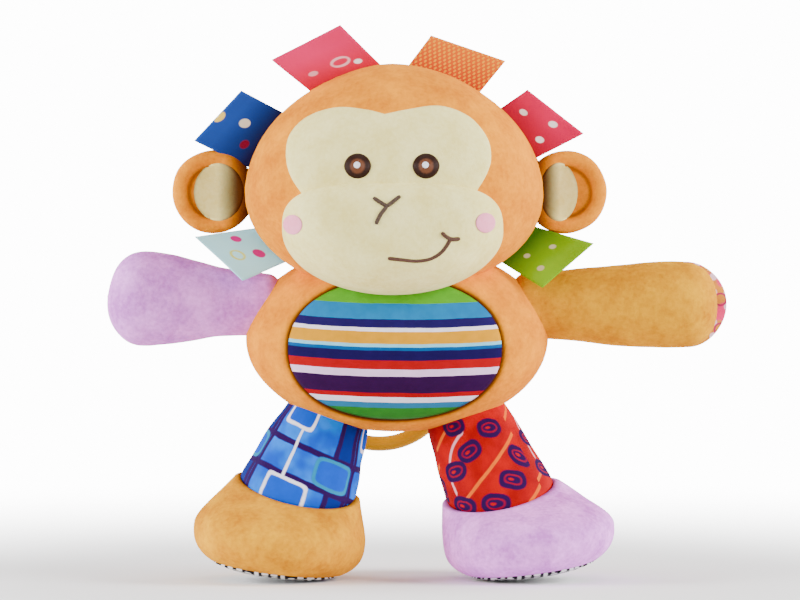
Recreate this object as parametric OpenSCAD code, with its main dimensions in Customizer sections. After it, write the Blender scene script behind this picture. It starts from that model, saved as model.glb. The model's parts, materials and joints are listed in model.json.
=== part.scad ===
// Stuffed monkey: plush head and body, striped belly, printed legs, ribbon tags, plastic ring.
// Millimetres. +Z is up, the toy faces -Y, and its own left side is +X.
// The origin lies on the ground under the middle of the toy's overall box.

/* [Body] */
// Width of the body
torso_w = 152; // [120:1:190]
// Height and depth of the body
torso_h = 95; // [80:1:115]
// Height of the underside of the body above the ground
torso_ground = 73.5; // [66:0.5:90]
// How far the body sits behind the side seam of the head
torso_back = 12; // [8:1:18]
// Width of the striped belly panel
belly_w = 106; // [70:1:120]
// Height of the striped belly panel
belly_h = 72; // [50:1:80]
// How far the middle of the belly panel lies below the middle of the body
belly_drop = 4.5; // [0:0.5:8]

/* [Head] */
// Width of the head without the ears
head_w = 150; // [120:1:180]
// Height and depth of the head
head_h = 115; // [95:1:135]
// Roundness of the head's outline, 2 is an ellipse
head_power = 1.9; // [1.8:0.05:2.3]
// How far the head sits to the toy's right of the body's middle
head_shift = 1.5; // [0:0.5:4]
// Height of the neck's pivot above the middle of the body
neck_rise = 27; // [24:1:34]
// How far the neck's pivot sits behind the side seam of the head
neck_back = 8; // [4:1:12]
// How far the head's underside reaches below the neck's pivot
neck_sink = 5; // [2:0.5:8]
// Radius of the stuffed neck
neck_r = 22; // [16:1:26]
// Room left between the head's underside and the body
neck_gap = 7; // [6:0.5:10]
// Most the head nods forward, degrees
nod_forward = 8; // [4:1:10]

/* [Face] */
// Width of the muzzle
muzzle_w = 111; // [80:1:130]
// Height and depth of the muzzle
muzzle_h = 56; // [44:1:62]
// How far the middle of the muzzle stands in front of the head's side seam
muzzle_out = 42; // [36:0.5:48]
// Height of the muzzle's middle above the head's underside
muzzle_rise = 28; // [22:0.5:34]
// Radius of the face mask's two round lobes
mask_lobe_r = 26; // [20:0.5:30]
// Distance between the middles of the two lobes
mask_lobe_gap = 49.5; // [40:0.5:56]
// Height of the lobes' middles above the head's middle
mask_lobe_rise = 10; // [6:0.5:14]
// How far the face mask sits to the right of the head's middle
mask_shift = 3; // [0:0.5:4]
// How far the notch between the lobes dips below their tops
mask_notch = 2; // [1:0.5:6]
// How far each side of the mask narrows towards the muzzle
mask_taper = 7; // [3:0.5:12]
// Depth of the mask's lower edge below the head's middle
mask_drop = 14.5; // [10:0.5:20]
// Radius of an embroidered eye
eye_r = 6.8; // [4:0.1:9]
// Distance between the eyes
eye_gap = 33.5; // [26:0.5:40]
// Height of the eyes above the head's middle
eye_rise = 6.5; // [2:0.5:12]
// How far the middle between the eyes sits to the right of the head's middle
eye_shift = 1; // [0:0.5:3]
// Radius of the white glint on an eye
glint_r = 1.8; // [1:0.1:2.5]
// Width of the stitched nose and mouth lines
stitch_w = 1.8; // [1.4:0.1:2.6]
// Height of the nose's fork above the muzzle's middle
nose_rise = 16; // [12:1:18]
// Sideways reach of each arm of the nose
nose_w = 7; // [5:0.5:9]
// Length of the nose's stem
nose_h = 10; // [6:0.5:13]
// Radius of the smile
smile_r = 23; // [16:1:26]
// Height of the middle of the smile's curve above the muzzle's middle
smile_rise = 15; // [10:1:18]
// Radius of a blush cheek
cheek_r = 5; // [3:0.5:7]
// Distance from a blush cheek's edge to the muzzle's end
cheek_in = 4; // [3:0.5:8]
// Height of the blush cheeks above the muzzle's middle
cheek_rise = 7; // [3:0.5:10]

/* [Ears] */
// Radius of an ear
ear_r = 20.5; // [15:0.5:24]
// Thickness of an ear
ear_t = 9; // [7:0.5:11]
// Radius of the pale patch inside an ear
ear_patch_r = 13; // [9:0.5:15]
// How deep the patch lies below the ear's rim
ear_dish = 1; // [0.5:0.1:2]
// How far the middle of the right ear stands out from the head's side
right_ear_out = 15.5; // [10:0.5:17]
// How far the middle of the left ear stands out from the head's side
left_ear_out = 11; // [9:0.5:17]
// How far the ears' middles sit below the head's middle
ear_drop = 6.5; // [2:0.5:9]

/* [Ribbon tags] */
// Width of a ribbon tag on the top of the head
tag_w = 36; // [20:1:38]
// Width that shows of a ribbon tag above an ear
side_tag_w = 32; // [20:1:34]
// Width that shows of a ribbon tag under an ear
low_tag_w = 18; // [12:1:20]
// How far a ribbon tag stands out of the seam
tag_reach = 20; // [14:1:24]
// How far the orange ribbon tag stands out of the seam
orange_tag_reach = 15; // [12:1:24]
// How far a ribbon tag under an ear stands out of the seam
low_tag_reach = 18; // [12:1:20]
// Thickness of a folded ribbon tag
tag_t = 3; // [2:0.5:4]
// Place of the pink tag round the head, degrees up from the left ear's side
pink_tag_at = 116.5; // [108:0.5:124]
// Place of the orange tag round the head, degrees
orange_tag_at = 63; // [56:1:72]
// Place of the red tag round the head, degrees
red_tag_at = 24; // [20:1:32]
// Place of the blue tag round the head, degrees
blue_tag_at = 159; // [150:1:162]
// Place of the aqua tag round the head, degrees
aqua_tag_at = 206; // [205.5:0.5:207]
// Place of the green tag round the head, degrees below the left ear's side
green_tag_at = 26; // [25.5:0.5:27]
// Slant of the top tags, degrees
top_tag_lean = 19; // [0:1:30]
// Slant of the tags above the ears, degrees
side_tag_lean = 6; // [0:1:15]
// Slant of the tags under the ears, degrees
low_tag_lean = 30; // [24:1:34]
// How far the tags under the ears tip forward over the arms, degrees
low_tag_tilt = 15; // [12:1:20]

/* [Arms] */
// Height of the shoulder pivots above the middle of the body
shoulder_rise = 16; // [10:1:20]
// How far a shoulder pivot sits inside the body's side
shoulder_inset = 5.5; // [3:0.5:8]
// Radius of an arm at the shoulder
arm_root_r = 15.5; // [11:0.5:17]
// Radius of the right mitten
right_hand_r = 23.5; // [18:0.5:25]
// Length of the right arm from its pivot to the middle of the mitten
right_arm_len = 56; // [46:1:70]
// Radius of the left mitten
left_hand_r = 21.5; // [17:0.5:23]
// Length of the left arm from its pivot to the middle of the mitten
left_arm_len = 73; // [55:1:85]
// Room for the arm's root inside the body
shoulder_room = 5; // [4.5:0.5:7]
// Most an arm swings forward, degrees
arm_forward = 50; // [20:5:50]
// Most an arm swings back, degrees
arm_back_swing = 25; // [10:5:25]

/* [Legs] */
// Distance from the toy's middle to each hip pivot
hip_x = 37; // [33:0.5:42]
// How far a hip pivot sits in front of the body's middle
hip_front = 6; // [3:1:9]
// How far a hip pivot sits under the body's surface
hip_out = 4; // [2:0.5:5]
// Radius of a leg at the hip
leg_root_r = 21.5; // [18:0.5:23]
// Radius of a leg at the ankle seam
ankle_r = 30; // [24:0.5:31]
// Distance from the middle of the foot up to the ankle seam
ankle_rise = 28.5; // [26:0.5:31]
// Outward lean of the right leg, degrees
right_splay = 22; // [14:1:26]
// Outward lean of the left leg, degrees
left_splay = 27.5; // [20:0.5:30]
// Radius of a foot
foot_r = 42.5; // [36:0.5:45]
// Length of a foot
foot_len = 94; // [86:1:104]
// Height of the middle of a foot above the ground
foot_axis_z = 21; // [16:1:26]
// How far the toes turn outwards, degrees
toe_out = 16; // [0:1:25]
// How far the middle of a foot lies in front of the hips
foot_forward = 8; // [4:1:14]
// Thickness of the printed sole
sole_t = 2; // [1.5:0.5:3]
// Most a leg swings forward, degrees
hip_forward = 60; // [30:5:60]
// Most a leg swings back, degrees
hip_back = 20; // [5:5:20]

/* [Ring] */
// Radius of the ring to the middle of its bar
ring_r = 36; // [28:0.5:40]
// Radius of the ring's bar
ring_bar_r = 3.75; // [3:0.25:4.5]
// How far the ring hangs to the toy's right of its middle
ring_shift = 9; // [0:0.5:12]
// Height of the ring's lowest point above the ground
ring_ground = 61; // [56:0.5:70]
// Running clearance of the ring in its fabric loop
ring_play = 1; // [0.6:0.1:1.5]
// Width of the ring's fabric loop
loop_w = 12; // [8:1:20]
// Thickness of the fabric loop round the ring's bar
loop_t = 1.6; // [1.2:0.1:2.5]

/* [Fabric] */
// Thickness of the plush fabric
skin = 1.5; // [1:0.1:2]
// Thickness of embroidery and applied patches
patch_t = 1; // [0.6:0.1:1.5]
// Room left between two pieces of different bodies
clear = 0.5; // [0.4:0.1:0.8]

/* [Hidden] */
$fn = 64;
lay = 0.05;          // air between two layers of one body
big = 400;           // larger than the toy

// Body
torso_a = torso_w / 2;
torso_r = torso_h / 2;
torso_z = torso_ground + torso_r;
torso_y = torso_back;
neck = [-head_shift, neck_back, torso_z + neck_rise];

// Head, turned about a line from ear to ear
head_a = head_w / 2;
head_r = head_h / 2;
head = [-head_shift, 0, neck[2] + head_r - neck_sink];
muzzle_a = muzzle_w / 2;
muzzle_r = muzzle_h / 2;
muzzle = [-head_shift, -muzzle_out, head[2] - head_r + muzzle_rise];

// Shoulders and hips sit on the body's own outline
function torso_section(x) = torso_r * sqrt(1 - pow(x / torso_a, 2));
shoulder_x = torso_a * sqrt(1 - pow(shoulder_rise / torso_r, 2)) - shoulder_inset;
shoulder_z = torso_z + shoulder_rise;
hip = [hip_x, torso_y - hip_front, torso_z - torso_section(hip_x) - hip_out];
ring_seat_x = -ring_shift;
ring_top_z = ring_ground + ring_bar_r + 2 * ring_r;
ring_y = torso_y + torso_r + ring_bar_r + clear;

// Outermost points, which set the middle of the overall box
right_end = -(shoulder_x + right_arm_len + right_hand_r);
left_end = shoulder_x + left_arm_len + left_hand_r;
front_end = muzzle[1] - muzzle_r;
back_end = ring_y + ring_bar_r;
mid_x = (right_end + left_end) / 2;
mid_y = (front_end + back_end) / 2;

// Point on the head's outline, seen from the front, at an angle from +X
function unit_power(v, p) = sign(v) * pow(abs(v), p);
function outline_reach(t) = 1 / pow(
    pow(abs(cos(t)) / head_a, head_power) + pow(abs(sin(t)) / head_r, head_power),
    1 / head_power);
function outline_point(t) = outline_reach(t) * [cos(t), sin(t)];
function outline_tangent(t) = let (d = outline_point(t + 1) - outline_point(t - 1)) d / norm(d);

tan_plush = [0.90, 0.70, 0.48];
cream = [0.93, 0.89, 0.78];
fibre = [0.96, 0.96, 0.94];
lilac = [0.85, 0.68, 0.90];
yellow = [0.98, 0.80, 0.32];
print_pink = [0.95, 0.45, 0.65];
dark_brown = [0.24, 0.14, 0.10];

// ---- shared shapes ----

module place() {
    translate([-mid_x, -mid_y, 0]) children();
}

// The right leg is drawn on the left and turned over about the toy's middle
module mirrored() {
    translate([-2 * mid_x, 0, 0]) mirror([1, 0, 0]) children();
}

// Solid turned about X: half length a, radius r, outline power n
module spindle(a, r, n = 2, steps = 24) {
    outline = [for (i = [0:steps]) let (t = 180 * i / steps)
        [r * unit_power(sin(t), 2 / n), a * unit_power(cos(t), 2 / n)]];
    rotate([0, 90, 0]) rotate_extrude() polygon(outline);
}

module front_half(at_y) {
    translate([-big, at_y - 2 * big, -big]) cube([2 * big, 2 * big, 2 * big]);
}

module back_half(at_y) {
    translate([-big, at_y, -big]) cube([2 * big, 2 * big, 2 * big]);
}

// Shapes drawn on the +X side, moved to a shoulder's pivot
module at_shoulder(side) {
    translate([side * shoulder_x, torso_y, shoulder_z]) mirror([side < 0 ? 1 : 0, 0, 0]) children();
}

// Straight tapered limb from the pivot along +X, with round ends
module drop(r0, r1, len) {
    rotate([0, 90, 0]) rotate_extrude() intersection() {
        union() {
            circle(r0);
            translate([0, len]) circle(r1);
            polygon([[0, 0], [r0, 0], [r1, len], [0, len]]);
        }
        translate([0, -big]) square([big, 2 * big]);
    }
}

// ---- torso ----

module torso_solid(shrink = 0) {
    translate([0, torso_y, torso_z]) spindle(torso_a - shrink, torso_r - shrink);
}

// Leg as it hangs from a pivot at the origin, leaning outwards to +X
module leg_cone(splay, grow = 0, extra = 0) {
    leg_len = (hip[2] - foot_axis_z) / cos(splay) - ankle_rise;
    flare = (ankle_r - leg_root_r) / leg_len;
    rotate([0, -splay, 0]) {
        sphere(leg_root_r + grow);
        translate([0, 0, -leg_len - extra]) cylinder(
            h = leg_len + extra, r1 = ankle_r + flare * extra + grow, r2 = leg_root_r + grow);
    }
}

// Room that a leg sweeps out of the body between its two limits
module leg_sweep(splay) {
    grow = clear;
    far = torso_r;
    flare = 0.2;
    half = (leg_root_r + flare * far + grow) / cos(splay);
    translate(hip) {
        rotate([-hip_forward, 0, 0]) leg_cone(splay, grow, grow);
        rotate([hip_back, 0, 0]) leg_cone(splay, grow, grow);
        rotate([-hip_forward, 0, 0]) rotate([0, 90, 0]) rotate_extrude(angle = hip_forward + hip_back)
            polygon([
                [0, -leg_root_r - grow], [far, tan(splay) * far - half],
                [far, tan(splay) * far + half], [0, leg_root_r + grow]]);
    }
}

// Room that an arm sweeps out of the body between its two limits, drawn on the +X side. The
// cones at the limits stand a little prouder than the slot between them, so that no two
// surfaces only touch.
module arm_sweep(hand_r, len) {
    proud = clear / 2;
    far = torso_r;
    root = arm_root_r + clear;
    end = arm_root_r + (hand_r - arm_root_r) * far / len + clear;
    sphere(arm_root_r + shoulder_room);
    for (turn = [-arm_forward, arm_back_swing])
        rotate([0, 0, turn]) rotate([0, 90, 0])
            cylinder(h = far + clear, r1 = root + proud, r2 = end + proud);
    rotate([0, 0, -arm_forward]) rotate_extrude(angle = arm_forward + arm_back_swing)
        polygon([[0, -root], [far, -end], [far, end], [0, root]]);
}

// Everything that moves against the body, with room around it
module torso_cuts() {
    translate(neck) sphere(neck_r + lay);
    translate(head) spindle(head_a + neck_gap, head_r + neck_gap, head_power);
    translate(muzzle) chin_room();
    at_shoulder(-1) arm_sweep(right_hand_r, right_arm_len);
    at_shoulder(1) arm_sweep(left_hand_r, left_arm_len);
    mirror([1, 0, 0]) leg_sweep(right_splay);
    leg_sweep(left_splay);
}

// Room for the chin as the head nods forward about the neck
module chin_room() {
    dip = (neck[1] - muzzle[1]) * sin(nod_forward);
    for (share = [0, 0.5, 1])
        translate([0, 0, -dip * share]) spindle(muzzle_a + clear, muzzle_r + clear);
}

module belly_outline(grow = 0) {
    points = 48;
    translate([0, torso_y, torso_z - belly_drop]) rotate([90, 0, 0]) linear_extrude(big)
        polygon([for (i = [0:points - 1]) let (t = 360 * i / points)
            [(belly_w / 2 + grow) * cos(t), (belly_h / 2 + grow) * sin(t)]]);
}

module torso_skin() {
    difference() {
        torso_solid();
        torso_solid(skin);
        torso_cuts();
    }
}

module torso_stuffing() {
    color(fibre) place() difference() {
        torso_solid(skin + lay);
        torso_cuts();
    }
}

module torso_front_panel() {
    color(tan_plush) place() difference() {
        torso_skin();
        back_half(torso_y);
        belly_outline(lay);
    }
}

module belly_panel() {
    color([0.36, 0.55, 0.78]) place() intersection() {
        torso_skin();
        belly_outline();
    }
}

module torso_back_panel() {
    color(tan_plush) place() difference() {
        torso_skin();
        front_half(torso_y + lay);
    }
}

module neck_stuffing() {
    color(fibre) place() translate(neck) sphere(neck_r);
}

// Fabric loop on the back that the ring hangs in
module ring_loop() {
    bore_r = ring_bar_r + ring_play;
    color(tan_plush) place() difference() {
        translate([ring_seat_x - loop_w / 2, ring_y, ring_top_z]) union() {
            rotate([0, 90, 0]) cylinder(h = loop_w, r = bore_r + loop_t);
            translate([0, -torso_r / 2, -loop_t]) cube([loop_w, torso_r / 2, bore_r + 2 * loop_t]);
        }
        torso_solid(-lay);
        translate([ring_seat_x - loop_w, ring_y, ring_top_z]) rotate([0, 90, 0])
            cylinder(h = 2 * loop_w, r = bore_r);
    }
}

module hanging_ring() {
    color([0.98, 0.83, 0.12]) place()
        translate([ring_seat_x, ring_y, ring_top_z - ring_r]) rotate([90, 0, 0])
            rotate_extrude($fn = 96) translate([ring_r, 0]) circle(ring_bar_r);
}

// ---- head ----

module head_solid(shrink = 0) {
    translate(head) spindle(head_a - shrink, head_r - shrink, head_power);
}

module neck_socket() {
    translate(neck) sphere(neck_r + clear);
}

module head_stuffing() {
    color(fibre) place() difference() {
        head_solid(skin + lay);
        neck_socket();
    }
}

module head_skin() {
    difference() {
        head_solid();
        head_solid(skin);
        neck_socket();
    }
}

module head_front_panel() {
    color(tan_plush) place() difference() {
        head_skin();
        back_half(head[1]);
    }
}

module head_back_panel() {
    color(tan_plush) place() difference() {
        head_skin();
        front_half(head[1] + lay);
    }
}

// Thin layer on the front of the head, lifted by a number of millimetres
module head_layer(lift, thick) {
    difference() {
        head_solid(-lift - thick);
        head_solid(-lift);
        back_half(head[1]);
    }
}

module mask_outline() {
    lobe = mask_lobe_gap / 2;
    half = lobe + mask_lobe_r;
    translate([-mask_shift, 0]) {
        for (side = [-1, 1]) translate([side * lobe, mask_lobe_rise]) circle(mask_lobe_r);
        translate([0, mask_lobe_rise - mask_notch]) circle(mask_lobe_r);
        polygon([
            [-half, mask_lobe_rise], [-half + mask_taper, -mask_drop],
            [half - mask_taper, -mask_drop], [half, mask_lobe_rise]]);
    }
}

module face_mask() {
    color(cream) place() difference() {
        intersection() {
            head_layer(lay, patch_t);
            translate(head) rotate([90, 0, 0]) linear_extrude(big) mask_outline();
        }
        muzzle_solid(-lay);
    }
}

module muzzle_solid(shrink = 0) {
    translate(muzzle) spindle(muzzle_a - shrink, muzzle_r - shrink);
}

module muzzle_stuffing() {
    color(fibre) place() difference() {
        muzzle_solid(skin + lay);
        head_solid(-lay);
    }
}

module muzzle_cover() {
    color(cream) place() difference() {
        muzzle_solid();
        muzzle_solid(skin);
        head_solid(-lay);
    }
}

// Thin layer on the front of the muzzle, cut to the outline drawn by children
module on_muzzle() {
    intersection() {
        difference() {
            muzzle_solid(-lay - patch_t);
            muzzle_solid(-lay);
            head_solid(-patch_t - 3 * lay);
        }
        translate(muzzle) rotate([90, 0, 0]) linear_extrude(big) children();
    }
}

module eye_spot(side, lift, r, at = [0, 0]) {
    intersection() {
        head_layer(lift, patch_t);
        translate(head + [side * eye_gap / 2 - eye_shift + at[0], 0, eye_rise + at[1]])
            rotate([90, 0, 0]) cylinder(h = big, r = r);
    }
}

module embroidered_eye(side) {
    color(dark_brown) place() eye_spot(side, patch_t + 2 * lay, eye_r);
}

module right_eye() {
    embroidered_eye(-1);
}

module left_eye() {
    embroidered_eye(1);
}

module eye_glints() {
    off = eye_r / 5;
    color("white") place() for (side = [-1, 1])
        eye_spot(side, 2 * patch_t + 3 * lay, glint_r, [off, off]);
}

// Straight stitched line between two points
module stitch_line(from, to, wide) {
    run = to - from;
    translate(from) rotate(atan2(run[1], run[0])) translate([0, -wide / 2]) square([norm(run), wide]);
}

module nose_stitching() {
    fork = [-stitch_w, nose_rise];
    color([0.45, 0.36, 0.33]) place() on_muzzle() {
        stitch_line(fork, fork + [-nose_w, nose_w * 0.65], stitch_w);
        stitch_line(fork, fork + [nose_w, nose_w * 0.7], stitch_w);
        stitch_line(fork + [-nose_h / 2, -nose_h], fork + [stitch_w / 3, stitch_w / 3], stitch_w);
    }
}

// Smile: an arc that rises to the toy's left
module mouth_stitching() {
    middle = [smile_r / 5, smile_rise];
    start = 257;
    end = 343;
    color([0.40, 0.26, 0.20]) place() on_muzzle() {
        intersection() {
            translate(middle) difference() {
                circle(smile_r + stitch_w / 2);
                circle(smile_r - stitch_w / 2);
            }
            translate(middle) polygon([
                [0, 0], big * [cos(start), sin(start)], big * [cos(start), -1], big * [1, -1],
                big * [cos(end), sin(end)]]);
        }
    }
}

module cheek(side) {
    color([0.96, 0.77, 0.85]) place() on_muzzle()
        translate([side * (muzzle_a - cheek_r - cheek_in), cheek_rise]) circle(cheek_r);
}

module right_cheek() {
    cheek(-1);
}

module left_cheek() {
    cheek(1);
}

// ---- ears ----

// Ears are drawn on the +X side with the seam's fold line on the Z axis
module ear_shape(out) {
    bead = ear_t / 2;
    fold = clear + bead;
    chord = sqrt(pow(ear_r, 2) - pow(out - fold, 2));
    intersection() {
        translate([out - fold, 0, 0]) rotate([90, 0, 0]) rotate_extrude() union() {
            translate([0, -bead]) square([ear_r - bead, ear_t]);
            intersection() {
                translate([ear_r - bead, 0]) circle(bead);
                translate([0, -big]) square([big, 2 * big]);
            }
        }
        translate([0, -big, -big]) cube(2 * big);
    }
    translate([0, 0, -chord + bead]) cylinder(h = 2 * (chord - bead), r = bead);
}

module at_ear(side) {
    bead = ear_t / 2;
    translate(head + [side * (head_a + clear + bead), 0, -ear_drop])
        mirror([side < 0 ? 1 : 0, 0, 0]) children();
}

module ear_recess(out, grow, tall) {
    bead = ear_t / 2;
    intersection() {
        translate([out - clear - bead, patch_t + ear_dish - bead, 0]) rotate([90, 0, 0])
            cylinder(h = tall, r = ear_patch_r + grow);
        translate([lay, -big, -big]) cube(2 * big);
    }
}

module ear_front(side, out) {
    color(tan_plush) place() at_ear(side) difference() {
        ear_shape(out);
        back_half(0);
        ear_recess(out, lay, ear_t);
    }
}

module ear_patch(side, out) {
    color(cream) place() at_ear(side) intersection() {
        ear_recess(out, 0, ear_t);
        back_half(ear_dish - ear_t / 2);
    }
}

module ear_back(side, out) {
    color(tan_plush) place() at_ear(side) difference() {
        ear_shape(out);
        front_half(lay);
    }
}

module right_ear_front() {
    ear_front(-1, right_ear_out);
}

module right_ear_patch() {
    ear_patch(-1, right_ear_out);
}

module right_ear_back() {
    ear_back(-1, right_ear_out);
}

module left_ear_front() {
    ear_front(1, left_ear_out);
}

module left_ear_patch() {
    ear_patch(1, left_ear_out);
}

module left_ear_back() {
    ear_back(1, left_ear_out);
}

// ---- ribbon tags ----

// Folded ribbon: at is its place round the head, lean its skew, tilt its lean to the front
module tag(at, wide, lean, tilt, reach) {
    bead = tag_t / 2;
    bulge = pow(wide, 2) / (8 * head_r);
    along = outline_tangent(at);
    turn = atan2(along[1], along[0]) - 180;
    spot = outline_point(at) + (clear + bead + bulge) * [-along[1], along[0]] * -1;
    skew = tan(lean) * reach;
    place() translate(head + [spot[0], 0, spot[1]]) rotate([0, -turn, 0]) rotate([tilt, 0, 0]) {
        rotate([90, 0, 0]) translate([0, 0, -bead]) linear_extrude(tag_t) polygon([
            [-wide / 2, 0], [wide / 2, 0], [wide / 2 + skew, reach], [-wide / 2 + skew, reach]]);
        translate([-wide / 2, 0, 0]) rotate([0, 90, 0]) cylinder(h = wide, r = bead);
    }
}

module pink_tag() {
    color([0.96, 0.25, 0.50]) tag(pink_tag_at, tag_w, -top_tag_lean, 0, tag_reach);
}

module orange_tag() {
    color([1.0, 0.52, 0.10]) tag(orange_tag_at, tag_w, top_tag_lean, 0, orange_tag_reach);
}

module red_tag() {
    color([0.88, 0.05, 0.30]) tag(red_tag_at, side_tag_w, side_tag_lean, 0, tag_reach);
}

module blue_tag() {
    color([0.16, 0.32, 0.72]) tag(blue_tag_at, side_tag_w, -side_tag_lean, 0, tag_reach);
}

module aqua_tag() {
    color([0.72, 0.90, 0.96]) tag(aqua_tag_at, low_tag_w, low_tag_lean, low_tag_tilt, low_tag_reach);
}

module green_tag() {
    color([0.50, 0.75, 0.15]) tag(-green_tag_at, low_tag_w, -low_tag_lean, low_tag_tilt, low_tag_reach);
}

// ---- arms ----

module arm_stuffing(side, hand_r, len) {
    color(fibre) place() at_shoulder(side)
        drop(arm_root_r - skin - lay, hand_r - skin - lay, len);
}

module arm_skin(hand_r, len) {
    difference() {
        drop(arm_root_r, hand_r, len);
        drop(arm_root_r - skin, hand_r - skin, len);
    }
}

module arm_front(side, hand_r, len) {
    place() at_shoulder(side) difference() {
        arm_skin(hand_r, len);
        back_half(0);
    }
}

module arm_back(side, hand_r, len) {
    place() at_shoulder(side) difference() {
        arm_skin(hand_r, len);
        front_half(lay);
    }
}

module right_arm_stuffing() {
    arm_stuffing(-1, right_hand_r, right_arm_len);
}

module right_arm_front() {
    color(lilac) arm_front(-1, right_hand_r, right_arm_len);
}

module right_arm_back() {
    color(print_pink) arm_back(-1, right_hand_r, right_arm_len);
}

module left_arm_stuffing() {
    arm_stuffing(1, left_hand_r, left_arm_len);
}

module left_arm_front() {
    color(yellow) arm_front(1, left_hand_r, left_arm_len);
}

module left_arm_back() {
    color(print_pink) arm_back(1, left_hand_r, left_arm_len);
}

// ---- legs ----

// Foot turned about its toe line, leaning leg on the +X side, cut flat at the ground
module foot_solid(splay, shrink = 0) {
    reach = (hip[2] - foot_axis_z) * tan(splay);
    translate([hip[0] + reach, hip[1] - foot_forward, foot_axis_z])
        rotate([0, 0, 90 + toe_out]) spindle(foot_len / 2 - shrink, foot_r - shrink);
}

// Everything above the ankle seam
module above_ankle(splay, grow = 0) {
    reach = (hip[2] - foot_axis_z) * tan(splay);
    translate([hip[0] + reach, hip[1], foot_axis_z]) rotate([0, -splay, 0])
        translate([-big / 2, -big / 2, ankle_rise - grow]) cube(big);
}

module under(height) {
    translate([-big, -big, height - 2 * big]) cube(2 * big);
}

module sleeve_solid(splay, shrink = 0, extra = 0) {
    translate(hip) leg_cone(splay, -shrink, extra);
}

module leg_stuffing(splay) {
    inner = skin + lay;
    color(fibre) place() difference() {
        union() {
            intersection() {
                sleeve_solid(splay, inner);
                above_ankle(splay, lay);
            }
            intersection() {
                sleeve_solid(splay, inner, skin);
                foot_solid(splay, inner);
            }
            difference() {
                foot_solid(splay, inner);
                above_ankle(splay);
            }
        }
        under(sole_t + 2 * lay);
    }
}

module leg_sleeve(splay) {
    place() difference() {
        intersection() {
            sleeve_solid(splay);
            above_ankle(splay, -lay);
        }
        sleeve_solid(splay, skin, skin);
    }
}

module foot_upper(splay) {
    place() difference() {
        foot_solid(splay);
        foot_solid(splay, skin);
        above_ankle(splay);
        under(sole_t + lay);
    }
}

module sole(splay) {
    color([0.20, 0.20, 0.22]) place() intersection() {
        foot_solid(splay);
        translate([-big, -big, 0]) cube([2 * big, 2 * big, sole_t]);
    }
}

module right_leg_stuffing() {
    mirrored() leg_stuffing(right_splay);
}

module right_leg_sleeve() {
    color([0.10, 0.42, 0.86]) mirrored() leg_sleeve(right_splay);
}

module right_foot_upper() {
    color(yellow) mirrored() foot_upper(right_splay);
}

module right_sole() {
    mirrored() sole(right_splay);
}

module left_leg_stuffing() {
    leg_stuffing(left_splay);
}

module left_leg_sleeve() {
    color([0.90, 0.12, 0.12]) leg_sleeve(left_splay);
}

module left_foot_upper() {
    color(lilac) foot_upper(left_splay);
}

module left_sole() {
    sole(left_splay);
}

torso_stuffing();
torso_front_panel();
belly_panel();
torso_back_panel();
neck_stuffing();
ring_loop();
hanging_ring();
head_stuffing();
head_front_panel();
head_back_panel();
face_mask();
muzzle_stuffing();
muzzle_cover();
right_eye();
left_eye();
eye_glints();
nose_stitching();
mouth_stitching();
right_cheek();
left_cheek();
right_ear_front();
right_ear_patch();
right_ear_back();
left_ear_front();
left_ear_patch();
left_ear_back();
pink_tag();
orange_tag();
red_tag();
blue_tag();
aqua_tag();
green_tag();
right_arm_stuffing();
right_arm_front();
right_arm_back();
left_arm_stuffing();
left_arm_front();
left_arm_back();
right_leg_stuffing();
right_leg_sleeve();
right_foot_upper();
right_sole();
left_leg_stuffing();
left_leg_sleeve();
left_foot_upper();
left_sole();
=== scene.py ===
import json
import math

import bpy
import numpy as np
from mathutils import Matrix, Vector, noise


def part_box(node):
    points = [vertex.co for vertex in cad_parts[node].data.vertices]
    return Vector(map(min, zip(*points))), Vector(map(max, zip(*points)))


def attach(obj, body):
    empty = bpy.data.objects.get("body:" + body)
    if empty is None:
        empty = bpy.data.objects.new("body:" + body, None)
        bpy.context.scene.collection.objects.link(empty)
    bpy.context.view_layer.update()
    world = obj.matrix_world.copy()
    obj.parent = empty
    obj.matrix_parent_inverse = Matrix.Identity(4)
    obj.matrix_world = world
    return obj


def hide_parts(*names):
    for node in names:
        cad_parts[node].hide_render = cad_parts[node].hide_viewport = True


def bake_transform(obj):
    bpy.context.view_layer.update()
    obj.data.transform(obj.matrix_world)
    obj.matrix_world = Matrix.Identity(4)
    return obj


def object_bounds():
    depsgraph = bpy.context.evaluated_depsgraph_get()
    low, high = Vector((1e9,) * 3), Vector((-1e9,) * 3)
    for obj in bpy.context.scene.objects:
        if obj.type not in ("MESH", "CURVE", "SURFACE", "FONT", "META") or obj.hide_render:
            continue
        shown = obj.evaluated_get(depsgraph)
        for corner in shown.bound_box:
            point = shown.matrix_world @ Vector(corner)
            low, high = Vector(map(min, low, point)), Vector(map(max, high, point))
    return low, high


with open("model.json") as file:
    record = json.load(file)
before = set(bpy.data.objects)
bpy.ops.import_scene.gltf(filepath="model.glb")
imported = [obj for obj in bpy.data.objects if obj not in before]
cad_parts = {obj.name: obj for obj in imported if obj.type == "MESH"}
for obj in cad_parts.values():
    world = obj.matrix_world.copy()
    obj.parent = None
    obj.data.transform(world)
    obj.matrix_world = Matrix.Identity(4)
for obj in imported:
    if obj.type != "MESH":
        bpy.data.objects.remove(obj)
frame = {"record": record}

cad_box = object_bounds()
MM = 0.001
FRONT = np.array([0.0, -1.0, 0.0])

# ---------------------------------------------------------------- places from the frame


def span(*nodes):
    """Lowest and highest corner of some CAD nodes together."""
    boxes = [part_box(n) for n in nodes]
    low = np.min([np.array(b[0]) for b in boxes], axis=0)
    high = np.max([np.array(b[1]) for b in boxes], axis=0)
    return low, high


JOINTS = {j["name"]: j for j in frame["record"]["behaviour"]["joints"]}


def pivot(joint):
    return np.array(JOINTS[joint]["pos_m"], float)


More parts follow.
